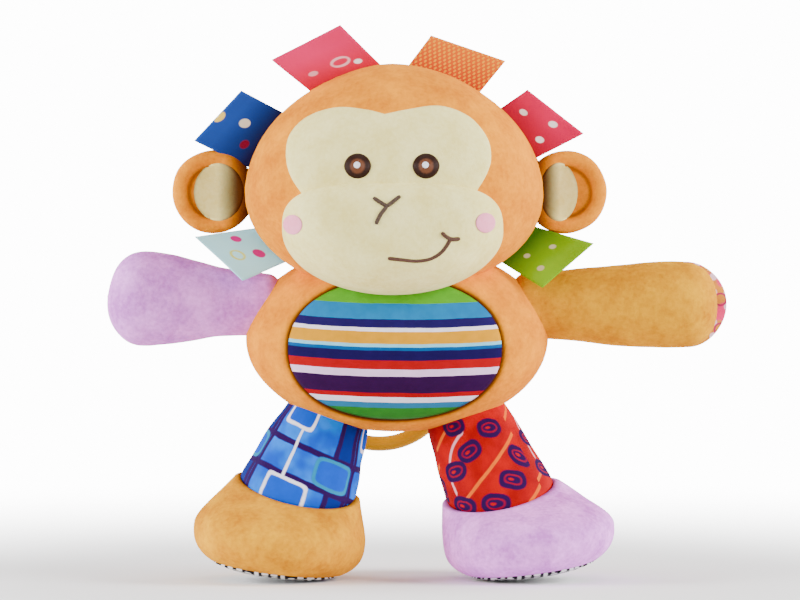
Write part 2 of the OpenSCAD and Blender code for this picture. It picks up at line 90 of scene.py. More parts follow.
head_low, head_high = span("head_front_panel", "head_back_panel")
HEAD_W = (head_high[0] - head_low[0]) / 2
HEAD_D = (head_high[1] - head_low[1]) / 2
HEAD = np.array([(head_low[0] + head_high[0]) / 2, (head_low[1] + head_high[1]) / 2, head_high[2] - HEAD_D])
HEAD_WIDE = HEAD + np.array([0, 0, -6.5 * MM])      # the outline is widest a little below the middle
HEAD_TOP = head_high[2] - HEAD_WIDE[2]
HEAD_CHIN = HEAD_TOP - 13 * MM

torso_low, torso_high = span("torso_front_panel", "torso_back_panel", "torso_stuffing")
TORSO_W = (torso_high[0] - torso_low[0]) / 2
TORSO_R = torso_high[1] - pivot("right_arm_swing")[1]
TORSO = np.array([(torso_low[0] + torso_high[0]) / 2, torso_high[1] - TORSO_R, torso_low[2] + TORSO_R])

# ---------------------------------------------------------------- meshes


def new_object(name, points, faces, material):
    mesh = bpy.data.meshes.new(name)
    mesh.from_pydata([tuple(p) for p in points], [], faces)
    mesh.validate()
    mesh.update()
    mesh.polygons.foreach_set("use_smooth", [True] * len(mesh.polygons))
    mesh.materials.append(material)
    obj = bpy.data.objects.new(name, mesh)
    bpy.context.collection.objects.link(obj)
    return obj


def shade_points(obj, values):
    """Stores how much painted shade each point gets where it lies in a seam, groove or crease; the plush material
    darkens it by this much.
    """
    layer = obj.data.attributes.new("fold", "FLOAT", "POINT")
    full = np.zeros(len(obj.data.vertices), np.float32)
    values = np.clip(np.asarray(values, np.float32).ravel(), 0, 1)
    full[:len(values)] = values
    layer.data.foreach_set("value", full)


def unit(v):
    return v / np.linalg.norm(v, axis=-1, keepdims=True)


def bake(obj):
    """Makes an object's modifiers part of its mesh."""
    mesh = bpy.data.meshes.new_from_object(obj.evaluated_get(bpy.context.evaluated_depsgraph_get()))
    obj.modifiers.clear()
    obj.data = mesh


def sheet_faces(rows, columns, wrap=True, first=0):
    """Quads of a grid of points, rows by columns, joined round its columns if wrap."""
    faces = []
    for i in range(rows - 1):
        for j in range(columns if wrap else columns - 1):
            k = (j + 1) % columns
            a, b = first + i * columns, first + (i + 1) * columns
            faces.append((a + j, b + j, b + k, a + k))
    return faces


def from_rings(name, rings, material, close_first=True, close_last=True):
    """A skin over rings of points. A closed end gets one point in the middle of its ring."""
    rings = np.asarray(rings)
    rows, columns = rings.shape[:2]
    points = list(rings.reshape(-1, 3))
    faces = sheet_faces(rows, columns)
    if close_first:
        points.append(rings[0].mean(axis=0))
        faces += [(len(points) - 1, j, (j + 1) % columns) for j in range(columns)]
    if close_last:
        base = (rows - 1) * columns
        points.append(rings[-1].mean(axis=0))
        faces += [(len(points) - 1, base + (j + 1) % columns, base + j) for j in range(columns)]
    return new_object(name, points, faces, material)


def lumpy(points, centre, amount, size, seed):
    """Points pushed in and out from a centre by smooth noise, as stuffing does."""
    points = np.array(points, float)
    shape = points.shape
    flat = points.reshape(-1, 3)
    offset = Vector((seed * 3.1, seed * 1.7, seed * 2.3))
    push = np.array([noise.noise(Vector(p) / size + offset) for p in flat])
    away = flat - centre
    away /= np.maximum(np.linalg.norm(away, axis=1, keepdims=True), 1e-9)
    return (flat + away * push[:, None] * amount).reshape(shape)


def bell(x, width):
    return np.exp(-((x / width) ** 2))


def circle(count):
    """Angles evenly round a circle."""
    return np.linspace(0, 2 * np.pi, count, endpoint=False)


def ring_at(middle, r, turn, y):
    """A ring of points round a middle in the X-Z plane, at depth y."""
    return np.stack([middle[0] + r * np.cos(turn), y, middle[2] + r * np.sin(turn)], axis=1)


def mm(*values):
    return tuple(v * MM for v in values)


class Pillow:
    """A stuffed form sewn from a front and a back along an outline in the X-Z plane."""

    LIP = 0.96                       # of the seam's width, where the turned-in lip ends

    def __init__(self, middle, reach, depth):
        self.middle, self.reach, self.depth = np.array(middle, float), reach, depth

    def share(self, x, z):
        """0 in the middle, 1 on the outline."""
        dx, dz = x - self.middle[0], z - self.middle[2]
        return np.hypot(dx, dz) / self.reach(np.arctan2(dz, dx))

    def front_y(self, x, z):
        s = np.clip(self.share(x, z), 0, 0.9999)
        return self.middle[1] - self.depth * (1 - s**2.0) ** 0.5

    def rings(self, is_front, rows, columns, groove=0.9 * MM, pucker=0.25 * MM, stitch=7 * MM):
        """Rings from the middle of one side out to the seam, ending in a lip turned inwards."""
        turn = circle(columns)
        rise = np.linspace(0.012, 1, rows) * np.pi / 2
        edge = self.reach(turn)
        out = []
        for angle in rise:
            near = bell(angle - np.pi / 2, 0.05)
            pull = groove * near + pucker * near * np.sin(turn * np.round(edge.mean() * 2 * np.pi / stitch))
            height = (1 - np.sin(angle) ** 2.0) ** 0.5 if angle < np.pi / 2 - 1e-6 else 0.0
            y = (-self.depth if is_front else self.depth) * height
            out.append(ring_at(self.middle, np.sin(angle) * edge - pull, turn, self.middle[1] + y + 0 * turn))
        lip = out[-1].copy()
        for k in (0, 2):
            lip[:, k] = self.middle[k] + (lip[:, k] - self.middle[k]) * self.LIP
        lip[:, 1] += (-0.2 if is_front else 0.2) * MM
        out.append(lip)
        out = np.array(out)
        return out if is_front else out[:, ::-1]


def oval(width, up, down, up_power=2.0, down_power=2.0):
    """Distance from the middle to an outline whose upper and lower halves differ."""
    def reach(turn):
        c, s = np.abs(np.cos(turn)), np.abs(np.sin(turn))
        above = np.sin(turn) >= 0
        tall = np.where(above, up, down)
        power = np.where(above, up_power, down_power)
        return ((c / width) ** power + (s / tall) ** power) ** (-1 / power)
    return reach


def patch(name, middle, outline, ground, material, lift, rows, columns, sunk=1.0 * MM, ride_up=0.0):
    """A flat piece of cloth sewn onto a rounded surface, raised in the middle and sewn down at its edge.
    ground(x, z) gives the surface's Y. The last three rings close it underneath."""
    turn = circle(columns)
    edge = outline(turn)
    above = [(s, -(lift * (1 - s**6) ** 0.5 + ride_up * (1 - s**2))) for s in np.linspace(0.02, 1, rows)]
    rings = []
    for s, y in above + [(0.985, sunk), (0.7, sunk), (0.3, sunk)]:
        ring = ring_at(middle, s * edge, turn, 0 * turn)
        ring[:, 1] = ground(ring[:, 0], ring[:, 2]) + y
        rings.append(ring)
    return from_rings(name, rings, material)


def spline(points, steps):
    """Catmull-Rom curve through the points."""
    p = [np.array(q, float) for q in points]
    p = [2 * p[0] - p[1], *p, 2 * p[-1] - p[-2]]
    out = []
    for i in range(1, len(p) - 2):
        for t in np.linspace(0, 1, steps, endpoint=i == len(p) - 3):
            a, b, c, d = p[i - 1], p[i], p[i + 1], p[i + 2]
            out.append(0.5 * (2 * b + (c - a) * t + (2 * a - 5 * b + 4 * c - d) * t**2
                              + (3 * b - a - 3 * c + d) * t**3))
    return np.array(out)


def tube(name, path, radii, material, flat, sides=10):
    """A bead along a path, squeezed flat from the front."""
    turn = circle(sides)
    rings = []
    for p, a, r in zip(path, unit(np.gradient(path, axis=0)), radii):
        side = unit(np.cross(a, FRONT))
        high = np.cross(side, a)
        rings.append(p + r * (np.cos(turn)[:, None] * side + flat * np.sin(turn)[:, None] * high))
    return from_rings(name, rings, material)


def thread(name, points, width, ground, material):
    """Satin stitch along points (x, z), laid on a surface."""
    line = spline(points, 26)
    path = np.stack([line[:, 0], ground(line[:, 0], line[:, 1]) - 0.25 * MM, line[:, 1]], axis=1)
    length = np.concatenate([[0], np.cumsum(np.linalg.norm(np.diff(path, axis=0), axis=1))])
    ends = np.minimum(length, length[-1] - length)
    tapered = width / 2 * (0.55 + 0.45 * np.minimum(ends / (1.2 * MM), 1) ** 0.5)
    r = tapered * (1 + 0.07 * np.sin(length / (0.45 * MM) * np.pi))
    return tube(name, path, r, material, flat=0.55)


def along_axis(start, end, shares, half_up, deep, turn):
    """Rings round a straight axis in the X-Z plane. half_up takes the share of the way, deep is a part of it."""
    up = unit(np.cross(unit(end - start), -FRONT))
    if up[2] < 0:
        up = -up
    rings = []
    for t in shares:
        c, high = start + (end - start) * t, half_up(t)
        rings.append(c + high * np.cos(turn)[:, None] * up + deep * high * np.sin(turn)[:, None] * FRONT)
    return np.array(rings)


def strip_uv(obj, rows, columns, size_u, size_v):
    """A map in metres for a grid that is not wrapped: U across its columns, V along its rows."""
    layer = obj.data.uv_layers.new(name="cloth")
    for loop in obj.data.loops:
        i, j = divmod(loop.vertex_index, columns)
        layer.data[loop.index].uv = (size_u * j / (columns - 1), size_v * min(i, rows - 1) / (rows - 1))


# ---------------------------------------------------------------- materials


class Paint:
    """Builds a material's nodes. Methods take and give sockets or plain numbers."""

    def __init__(self, name, roughness=0.8, **sockets):
        self.material = bpy.data.materials.new(name)
        self.material.use_nodes = True
        self.tree = self.material.node_tree
        self.shader = self.tree.nodes["Principled BSDF"]
        self.shader.inputs["Roughness"].default_value = roughness
        for key, value in sockets.items():
            self.shader.inputs[key.replace("_", " ")].default_value = value

    def node(self, kind, settings=None, **inputs):
        n = self.tree.nodes.new(kind)
        for key, value in (settings or {}).items():
            setattr(n, key, value)
        for key, value in inputs.items():
            self.join(value, n.inputs[key.replace("_", " ")])
        return n

    def join(self, value, socket):
        if isinstance(value, bpy.types.NodeSocket):
            self.tree.links.new(value, socket)
        else:
            socket.default_value = value

    def maths(self, operation, a, b=0.0, clamp=False):
        n = self.tree.nodes.new("ShaderNodeMath")
        n.operation, n.use_clamp = operation, clamp
        self.join(a, n.inputs[0])
        self.join(b, n.inputs[1])
        return n.outputs[0]

    def add(self, a, b, clamp=False):
        return self.maths("ADD", a, b, clamp)

    def sub(self, a, b, clamp=False):
        return self.maths("SUBTRACT", a, b, clamp)

    def mul(self, a, b):
        return self.maths("MULTIPLY", a, b)

    def div(self, a, b, clamp=False):
        return self.maths("DIVIDE", a, b, clamp)

    def length(self, x, y):
        return self.maths("SQRT", self.add(self.mul(x, x), self.mul(y, y)))

    def wave(self, value, pitch):
        return self.maths("SINE", self.mul(value, 2 * math.pi / pitch))

    def mirrored(self, value, period):
        """A coordinate that runs up and down again, so that a motif repeats."""
        return self.maths("PINGPONG", self.add(value, 1.0), period / 2)

    def wander(self, where, size, reach):
        """A small smooth shift that makes a print uneven."""
        return self.mul(self.sub(self.noise(where, size, 2), 0.5), reach)

    def spread(self, value, low, high, **to):
        return self.node("ShaderNodeMapRange", Value=value, From_Min=low, From_Max=high, **to).outputs[0]

    def place(self, kind="Object"):
        n = self.tree.nodes.new("ShaderNodeTexCoord")
        s = self.tree.nodes.new("ShaderNodeSeparateXYZ")
        self.tree.links.new(n.outputs[kind], s.inputs[0])
        return n.outputs[kind], s.outputs[0], s.outputs[1], s.outputs[2]

    def noise(self, where, size, detail=3.0, roughness=0.55):
        n = self.node("ShaderNodeTexNoise", Vector=where, Scale=1 / size, Detail=detail, Roughness=roughness)
        return n.outputs["Fac"]

    def mix(self, share, a, b):
        n = self.tree.nodes.new("ShaderNodeMix")
        n.data_type = "RGBA"
        self.join(share, n.inputs[0])
        self.join(a if isinstance(a, bpy.types.NodeSocket) else (*a, 1), n.inputs[6])
        self.join(b if isinstance(b, bpy.types.NodeSocket) else (*b, 1), n.inputs[7])
        return n.outputs[2]

    def ramp(self, value, stops):
        """Flat bands of colour, each from its place on."""
        n = self.tree.nodes.new("ShaderNodeValToRGB")
        n.color_ramp.interpolation = "CONSTANT"
        while len(n.color_ramp.elements) < len(stops):
            n.color_ramp.elements.new(0.5)
        for element, (place, colour) in zip(n.color_ramp.elements, stops):
            element.position, element.color = place, (*colour, 1)
        self.join(value, n.inputs[0])
        return n.outputs[0]

    def under(self, value, edge, soft):
        """1 where value is below edge, with a soft step."""
        n = self.tree.nodes.new("ShaderNodeMapRange")
        n.interpolation_type = "SMOOTHSTEP"
        self.join(value, n.inputs["Value"])
        n.inputs["From Min"].default_value = edge - soft
        n.inputs["From Max"].default_value = edge + soft
        n.inputs["To Min"].default_value = 1
        n.inputs["To Max"].default_value = 0
        return n.outputs[0]

    def band(self, value, middle, half, soft):
        """1 within half of middle."""
        return self.under(self.maths("ABSOLUTE", self.sub(value, middle)), half, soft)

    def spot(self, u, v, at, half, soft, power=2.0):
        """1 inside a rounded box or an oval round a point."""
        a = self.div(self.maths("ABSOLUTE", self.sub(u, at[0])), half[0])
        b = self.div(self.maths("ABSOLUTE", self.sub(v, at[1])), half[1])
        total = self.add(self.maths("POWER", a, power), self.maths("POWER", b, power))
        return self.under(self.maths("POWER", total, 1 / power), 1.0, soft / min(half))

    def outline(self, u, v, at, half, width, soft, power=2.0):
        """1 on the line round a spot."""
        outer = self.spot(u, v, at, half, soft, power)
        inner = self.spot(u, v, at, (half[0] - width, half[1] - width), soft, power)
        return self.sub(outer, inner, clamp=True)

    def bump(self, height, distance, strength, after=None):
        n = self.node("ShaderNodeBump", Height=height, Distance=distance, Strength=strength)
        if after is not None:
            self.tree.links.new(after, n.inputs["Normal"])
        return n.outputs[0]

    def finish(self, colour, normal=None):
        for value, socket in ((colour, "Base Color"), (normal, "Normal")):
            if value is not None:
                self.join(value, self.shader.inputs[socket])
        return self.material


def plush(name, shade, light, deep=None, pile=0.6 * MM):
    """Short-pile plush: soft clumps of pile, brushed patches, and painted shade in the seams, grooves and creases
    that the fold attribute marks.
    """
    p = Paint(name, roughness=0.92, Sheen_Weight=0.02, Sheen_Roughness=0.45, Sheen_Tint=(1.0, 0.97, 0.92, 1),
              Specular_IOR_Level=0.02)
    where, _, _, _ = p.place()
    brushed = p.noise(where, 16 * MM, 4, 0.6)
    clumps = p.noise(where, 2.2 * MM, 3)
    fibre = p.noise(where, pile, 2)
    patchy = p.add(p.mul(brushed, 0.65), p.mul(clumps, 0.35))
    share = p.spread(patchy, 0.36, 0.64)
    colour = p.mix(share, shade, light)
    # painted shade: the colour darkens towards deep (or a darker copy of shade) as far as the fold attribute says
    fold = p.node("ShaderNodeAttribute", {"attribute_name": "fold"}).outputs["Fac"]
    fold = p.sub(1.0, p.maths("POWER", p.sub(1.0, fold, clamp=True), 2.2), clamp=True)
    colour = p.mix(fold, colour, deep or tuple(c * 0.35 for c in shade))
    normal = p.bump(clumps, 0.5 * MM, 0.35)
    normal = p.bump(fibre, 0.35 * MM, 0.5, after=normal)
    return p.finish(colour, normal)


THREAD = 0.35 * MM               # of the printed cotton


def woven(p, where, colour):
    """Ends a material with a fine woven relief and a little unevenness of colour."""
    weave, cross = (p.node("ShaderNodeTexWave", {"bands_direction": way}, Vector=where, Scale=0.31 / THREAD,
                           Distortion=0.6) for way in "XZ")
    height = p.mul(weave.outputs["Fac"], cross.outputs["Fac"])
    worn = p.noise(where, 6 * MM, 3)
    dull = p.spread(worn, 0.3, 0.7, To_Min=0.86, To_Max=1.0)
    tint = p.tree.nodes.new("ShaderNodeMix")
    tint.data_type, tint.blend_type = "RGBA", "MULTIPLY"
    tint.inputs[0].default_value = 1.0
    p.join(colour, tint.inputs[6])
    p.join(dull, tint.inputs[7])
    normal = p.bump(height, 0.12 * MM, 0.6)
    normal = p.bump(worn, 0.5 * MM, 0.25, after=normal)
    return p.finish(tint.outputs[2], normal)


def printed(name, roughness=0.62):
    return Paint(name, roughness=roughness, Sheen_Roughness=0.5, Specular_IOR_Level=0.03)


# colours are in the shader's own units, stronger than they look because the picture's tones soften them
BLUE_TONES = [(0.003, 0.19, 0.84), (0.001, 0.07, 0.55), (0.022, 0.002, 0.065), (0.004, 0.018, 0.20),
              (0.004, 0.22, 0.40)]
RED_TONES = [(0.47, 0.001, 0.002), (0.31, 0.0005, 0.003), (0.75, 0.12, 0.004), (0.85, 0.36, 0.42),
             (0.024, 0.002, 0.055), (0.30, 0.002, 0.02)]
# deep is each plush's painted shade colour in seams, grooves and creases
TAN = plush("tan_plush", (0.66, 0.185, 0.0012), (0.95, 0.33, 0.003), deep=(0.045, 0.008, 0.0003))
CREAM = plush("cream_plush", (0.82, 0.70, 0.23), (0.97, 0.88, 0.38), deep=(0.05, 0.012, 0.0012))
LILAC = plush("lilac_plush", (0.52, 0.15, 0.58), (0.92, 0.34, 0.97), deep=(0.18, 0.03, 0.16))
YELLOW = plush("yellow_plush", (0.50, 0.175, 0.0003), (0.78, 0.36, 0.0005), deep=(0.22, 0.045, 0.0002))
BLUSH = plush("blush", (0.90, 0.26, 0.40), (0.95, 0.36, 0.52), pile=0.4 * MM)


def embroidery(name, colour, lighter):
    """Shiny rayon thread, laid in close parallel stitches."""
    p = Paint(name, roughness=0.5, Specular_IOR_Level=0.15)
    where, x, _, z = p.place()
    rows = p.wave(p.add(x, p.mul(z, 0.6)), 0.45 * MM)
    uneven = p.noise(where, 1.2 * MM, 2)
    share = p.add(p.mul(rows, 0.25), uneven, clamp=True)
    return p.finish(p.mix(share, colour, lighter), p.bump(rows, 0.12 * MM, 0.5))


def eye_material(middle):
    """Dark ring, lighter brown inside, stitched round the middle."""
    p = Paint("eye_thread", roughness=0.45, Specular_IOR_Level=0.15)
    where, x, _, z = p.place()
    out = []
    for side in middle:
        dx = p.sub(x, float(side[0]))
        dz = p.sub(z, float(side[2]))
        out.append(p.length(dx, dz))
    away = p.maths("MINIMUM", out[0], out[1])
    wavy = p.add(away, p.wander(where, 0.8 * MM, 0.8 * MM))
    ring = p.under(wavy, 3.6 * MM, 0.7 * MM)
    colour = p.mix(ring, (0.022, 0.005, 0.002), (0.14, 0.045, 0.018))
    rows = p.wave(away, 0.5 * MM)
    return p.finish(colour, p.bump(rows, 0.12 * MM, 0.5))


BROWN = embroidery("brown_thread", (0.060, 0.024, 0.014), (0.12, 0.055, 0.034))
GREY_BROWN = embroidery("grey_brown_thread", (0.050, 0.028, 0.018), (0.10, 0.062, 0.044))
WHITE_THREAD = embroidery("white_thread", (0.72, 0.70, 0.82), (0.92, 0.91, 0.96))


def belly_material(top, low, middle_x):
    """Printed stripes across the belly, a little higher towards its right side."""
    p = printed("belly_stripes", 0.55)
    where, x, _, z = p.place()
    white, sky, navy, green = (0.86, 0.78, 0.90), (0.003, 0.17, 0.42), (0.014, 0.006, 0.085), (0.085, 0.34, 0.015)
    plum, red = (0.028, 0.003, 0.045), (0.38, 0.002, 0.006)
    stripes = [
        (6.7, white), (17.3, green), (15.0, sky), (8.0, navy), (4.0, white), (12.0, (0.66, 0.29, 0.004)),
        (3.0, (0.20, 0.62, 0.80)), (3.5, (0.003, 0.085, 0.28)), (9.5, (0.010, 0.003, 0.062)),
        (8.5, red), (6.9, (0.80, 0.55, 0.82)), (16.3, plum),
        (4.3, red), (5.4, white), (5.6, (0.02, 0.18, 0.34)), (12.0, (0.025, 0.20, 0.02))]
    total = sum(w for w, _ in stripes)
    stops, at = [], 0.0
    for width, colour in stripes:
        stops.append((at / total, colour))
        at += width
    side = p.div(p.sub(x, middle_x + 8 * MM), 52 * MM)
    droop = p.mul(p.mul(side, side), 1.7 * MM)
    wobble = p.wander(where, 14 * MM, 0.8 * MM)
    height = p.add(p.sub(z, droop), wobble)
    share = p.div(p.sub(top, height), top - low, clamp=True)
    colour = p.ramp(share, stops)
    return woven(p, where, colour)


GIRTH = 163.4 * MM               # of a printed sleeve, once round
REPEAT = GIRTH / 3


def print_maps(p, wander):
    """A sleeve's own map: U across from the middle of its front, V down from the hip."""
    where, u, v, _ = p.place("UV")
    drift = p.wander(where, 11 * MM, wander)
    u, v = p.add(u, drift), p.sub(v, drift)
    u = p.sub(p.maths("MODULO", p.add(u, 4 * REPEAT + 30 * MM), REPEAT), 30 * MM)
    return where, u, v


def checks_material(name):
    """Blue printed cotton: a dark grid, pale square outlines joined by a line, one turquoise square."""
    p = printed(name)
    where, u, v = print_maps(p, 1.6 * MM)
    soft = 0.35 * MM
    tone = p.under(p.noise(where, 18 * MM, 2), 0.5, 0.12)
    colour = p.mix(tone, BLUE_TONES[0], BLUE_TONES[1])
    navy, dark = BLUE_TONES[2], BLUE_TONES[3]
    colour = p.mix(p.band(u, 17.6 * MM, 4.2 * MM, soft), colour, dark)
    for at, half in ((12.0, 1.6), (23.2, 1.7), (-28.5, 1.4)):
        colour = p.mix(p.band(u, at * MM, half * MM, soft), colour, navy)
    for at in (11.7, 27.6, 43.5):
        colour = p.mix(p.band(v, at * MM, 1.5 * MM, soft), colour, navy)
    pale = (0.90, 0.88, 0.96)
    for at, half in (((-15, -5), (10, 8.8)), ((-8, 36.5), (10.8, 8.2))):
        spot = mm(*at)
        colour = p.mix(p.spot(u, v, spot, mm(*half), soft, 9), colour, BLUE_TONES[1])
        line = p.outline(u, v, spot, mm(*half), 1.7 * MM, soft, 9)
        colour = p.mix(line, colour, pale)
    stem = p.mul(p.band(u, -10.8 * MM, 0.75 * MM, soft), p.band(v, 16 * MM, 12.6 * MM, soft))
    colour = p.mix(stem, colour, pale)
    square, half = mm(13, 19.2), mm(10.8, 7.4)
    colour = p.mix(p.spot(u, v, square, half, soft, 5), colour, BLUE_TONES[1])
    colour = p.mix(p.outline(u, v, square, half, 1.7 * MM, soft, 5), colour, BLUE_TONES[4])
    return woven(p, where, colour)


def beans_material(name):
    """Red printed cotton: dark ovals with marks in them, an orange slanting line and a pale curved line."""
    p = printed(name)
    where, u, v = print_maps(p, 2.2 * MM)
    soft = 0.35 * MM
    colour = p.mix(p.under(p.noise(where, 20 * MM, 2), 0.5, 0.14), RED_TONES[0], RED_TONES[1])
    slant = p.add(v, p.mul(u, 0.495))
    for at in (22.5, -12.0, 52.0):
        colour = p.mix(p.band(slant, at * MM, 1.0 * MM, soft), colour, RED_TONES[2])
    arc = p.outline(u, v, mm(2, 20), mm(25, 22), 1.4 * MM, soft)
    arc = p.mul(arc, p.under(p.add(u, p.mul(v, 0.6)), -5 * MM, soft))
    colour = p.mix(arc, colour, RED_TONES[3])
    for x, y, lean in ((11, 3, 0.2), (-5.5, 9.5, -0.1), (-18, 15.8, 0.1), (11.3, 31, 0.5), (-1.5, 38, 0.4),
                       (21, 22, 0.9), (-9.5, -5, 0.1), (-18.5, 33, 0.4)):
        c, n = math.cos(lean), math.sin(lean)
        du, dv = p.sub(u, x * MM), p.sub(v, y * MM)
        a = p.add(p.mul(du, c), p.mul(dv, n))
        b = p.sub(p.mul(dv, c), p.mul(du, n))
        half = mm(7.6, 4.9)
        colour = p.mix(p.spot(a, b, (0, 0), half, soft, 2.4), colour, RED_TONES[4])
        colour = p.mix(p.outline(a, b, (0, 0), mm(5.0, 2.7), 0.8 * MM, soft, 2.2), colour, RED_TONES[5])
        colour = p.mix(p.spot(a, b, (-1.2 * MM, 0), mm(1.5, 0.7), soft), colour, RED_TONES[0])
    return woven(p, where, colour)


def sole_material(name):
    """Black cloth printed with a white lattice and dots."""
    p = printed(name)
    where, x, y, _ = p.place()
    soft = 0.3 * MM
    period = 13 * MM
    a, b = p.mirrored(x, period), p.mirrored(y, period)
    line = p.maths("MAXIMUM", p.under(a, 1.0 * MM, soft), p.under(b, 1.0 * MM, soft))
    dot = p.spot(a, b, mm(4.2, 4.2), mm(1.7, 1.7), soft)
    colour = p.mix(p.maths("MAXIMUM", line, dot), (0.008, 0.007, 0.012), (0.86, 0.86, 0.87))
    return woven(p, where, colour)


def arm_print_material(name):
    """Pink printed cotton with pale dots and tan leaves."""
    p = printed(name)
    where, x, _, z = p.place()
    soft = 0.3 * MM
    period = 15 * MM
    a, b = p.mirrored(x, period), p.mirrored(z, period)
    tan = p.under(p.noise(where, 22 * MM, 2), 0.46, 0.02)
    colour = p.mix(tan, (0.80, 0.035, 0.16), (0.66, 0.24, 0.03))
    colour = p.mix(p.spot(a, b, mm(3.6, 3.6), mm(1.9, 1.9), soft), colour, (0.90, 0.55, 0.66))
    colour = p.mix(p.outline(a, b, (0, 0), mm(3.4, 3.4), 0.9 * MM, soft), colour, (0.42, 0.01, 0.10))
    return woven(p, where, colour)


def ribbon_material(name, fold_at, near, far, motifs, ribs=False):
    """Satin ribbon. near is its colour at the seam, darker there as painted shade from the head, and far its colour
    at the fold; motifs are spots on it.
    """
    p = Paint(name, roughness=0.38, Specular_IOR_Level=0.07, Anisotropic=0.5)
    where, u, v, _ = p.place("UV")
    soft = 0.3 * MM
    half = p.maths("PINGPONG", v, fold_at)
    # painted shade: the colour runs from near, darker where the ribbon leaves the head, to far out at the fold
    share = p.spread(half, 8 * MM, 24 * MM)
    colour = p.mix(share, near, far)
    for at, size, tint, hollow in motifs:
        spot, extent = mm(*at), mm(*size)
        if hollow:
            mask = p.outline(u, half, spot, extent, 1.1 * MM, soft)
        else:
            mask = p.spot(u, half, spot, extent, soft)
        colour = p.mix(mask, colour, tint)
    pitch = 2.6 * MM if ribs else 0.5 * MM
    rows = p.wave(u if ribs else half, pitch)
    if ribs:
        dash = p.wave(half, 3.4 * MM)
        lit = p.under(p.mul(rows, dash), -0.25, 0.2)
        colour = p.mix(p.mul(lit, 0.55), colour, (0.95, 0.48, 0.01))
    normal = p.bump(rows, 0.05 * MM if not ribs else 0.15 * MM, 0.5)
    normal = p.bump(p.noise(where, 9 * MM, 2), 0.8 * MM, 0.3, after=normal)
    return p.finish(colour, normal)


def plastic(name, colour, lighter):
    """Moulded glossy plastic with faint flow marks."""
    p = Paint(name, roughness=0.25, Specular_IOR_Level=0.09)
    where, _, _, _ = p.place()
    flow = p.noise(where, 20 * MM, 3)
    return p.finish(p.mix(flow, colour, lighter), p.bump(p.noise(where, 3 * MM, 2), 0.1 * MM, 0.15))


# ---------------------------------------------------------------- stage, camera, lights

SENSOR = 36                      # width in millimetres
SEEN_WIDTH = 0.4                 # metres of the toy's plane that fit across the picture
camera_x = (cad_box[0][0] + cad_box[1][0]) / 2 - 6 * MM
camera_z = 140 * MM
CAMERA_DISTANCE = 2.6
CAMERA_TILT = math.radians(1.5)


def make_stage():
    """A pale paper floor, which fades away into the white studio round it."""
    p = Paint("studio_paper", roughness=0.95)
    where, x, y, _ = p.place()
    paper = p.noise(where, 0.4, 2)
    away = p.length(x, y)
    p.join(p.under(away, 0.5, 0.32), p.shader.inputs["Alpha"])
    p.finish(p.mix(paper, (0.93, 0.93, 0.93), (0.96, 0.96, 0.96)))
    corners = [(x, y, 0.0) for x, y in ((-2.0, -2.0), (2.0, -2.0), (2.0, 2.0), (-2.0, 2.0))]
    new_object("studio_floor", corners, [(0, 1, 2, 3)], p.material)


def make_camera():
    data = bpy.data.cameras.new("camera")
    data.sensor_width = SENSOR
    data.lens = SENSOR * CAMERA_DISTANCE / SEEN_WIDTH
    camera = bpy.data.objects.new("camera", data)
    bpy.context.collection.objects.link(camera)
    aim = Vector((camera_x, HEAD[1], camera_z))
    back = Vector((0, -math.cos(CAMERA_TILT), math.sin(CAMERA_TILT)))
    camera.location = aim + back * CAMERA_DISTANCE
    camera.rotation_mode = "QUATERNION"
    camera.rotation_quaternion = (-back).to_track_quat("-Z", "Y")
    bpy.context.scene.camera = camera


def area_light(name, place, target, size, power):
    data = bpy.data.lights.new(name, "AREA")
    data.size, data.energy = size, power
    light = bpy.data.objects.new(name, data)
    bpy.context.collection.objects.link(light)
    light.location = place
    light.rotation_mode = "QUATERNION"
    light.rotation_quaternion = (Vector(target) - Vector(place)).to_track_quat("-Z", "Y")


def make_lights():
    world = bpy.data.worlds.new("studio")
    world.use_nodes = True
    tree = world.node_tree
    around = tree.nodes["Background"]
    around.inputs[0].default_value, around.inputs[1].default_value = (1, 1, 1, 1), 0.55
    seen = tree.nodes.new("ShaderNodeBackground")
    seen.inputs[0].default_value, seen.inputs[1].default_value = (1, 1, 1, 1), 14.0
    choice, path = tree.nodes.new("ShaderNodeMixShader"), tree.nodes.new("ShaderNodeLightPath")
    tree.links.new(path.outputs["Is Camera Ray"], choice.inputs[0])
    tree.links.new(around.outputs[0], choice.inputs[1])
    tree.links.new(seen.outputs[0], choice.inputs[2])
    tree.links.new(choice.outputs[0], tree.nodes["World Output"].inputs[0])
    bpy.context.scene.world = world
    toy = (0, 0, 0.14)
    area_light("left_softbox", (-1.45, -0.45, 0.5), toy, 0.8, 40)
    area_light("right_softbox", (1.45, -0.45, 0.65), toy, 0.8, 46)
    area_light("front_fill", (0.1, -1.9, 0.7), toy, 1.0, 8)
    area_light("top", (0.0, 0.0, 1.5), toy, 1.0, 8)
    area_light("left_rim", (-1.3, 0.8, 0.5), toy, 0.8, 16)
    area_light("right_rim", (1.3, 0.8, 0.5), toy, 0.8, 16)


make_stage()
make_camera()
make_lights()

# ---------------------------------------------------------------- head

head_form = Pillow(HEAD_WIDE, oval(HEAD_W, HEAD_TOP, HEAD_CHIN, 1.84), HEAD_D)
torso_form = Pillow(TORSO, oval(TORSO_W + 0.3 * MM, TORSO_R, TORSO_R), TORSO_R)


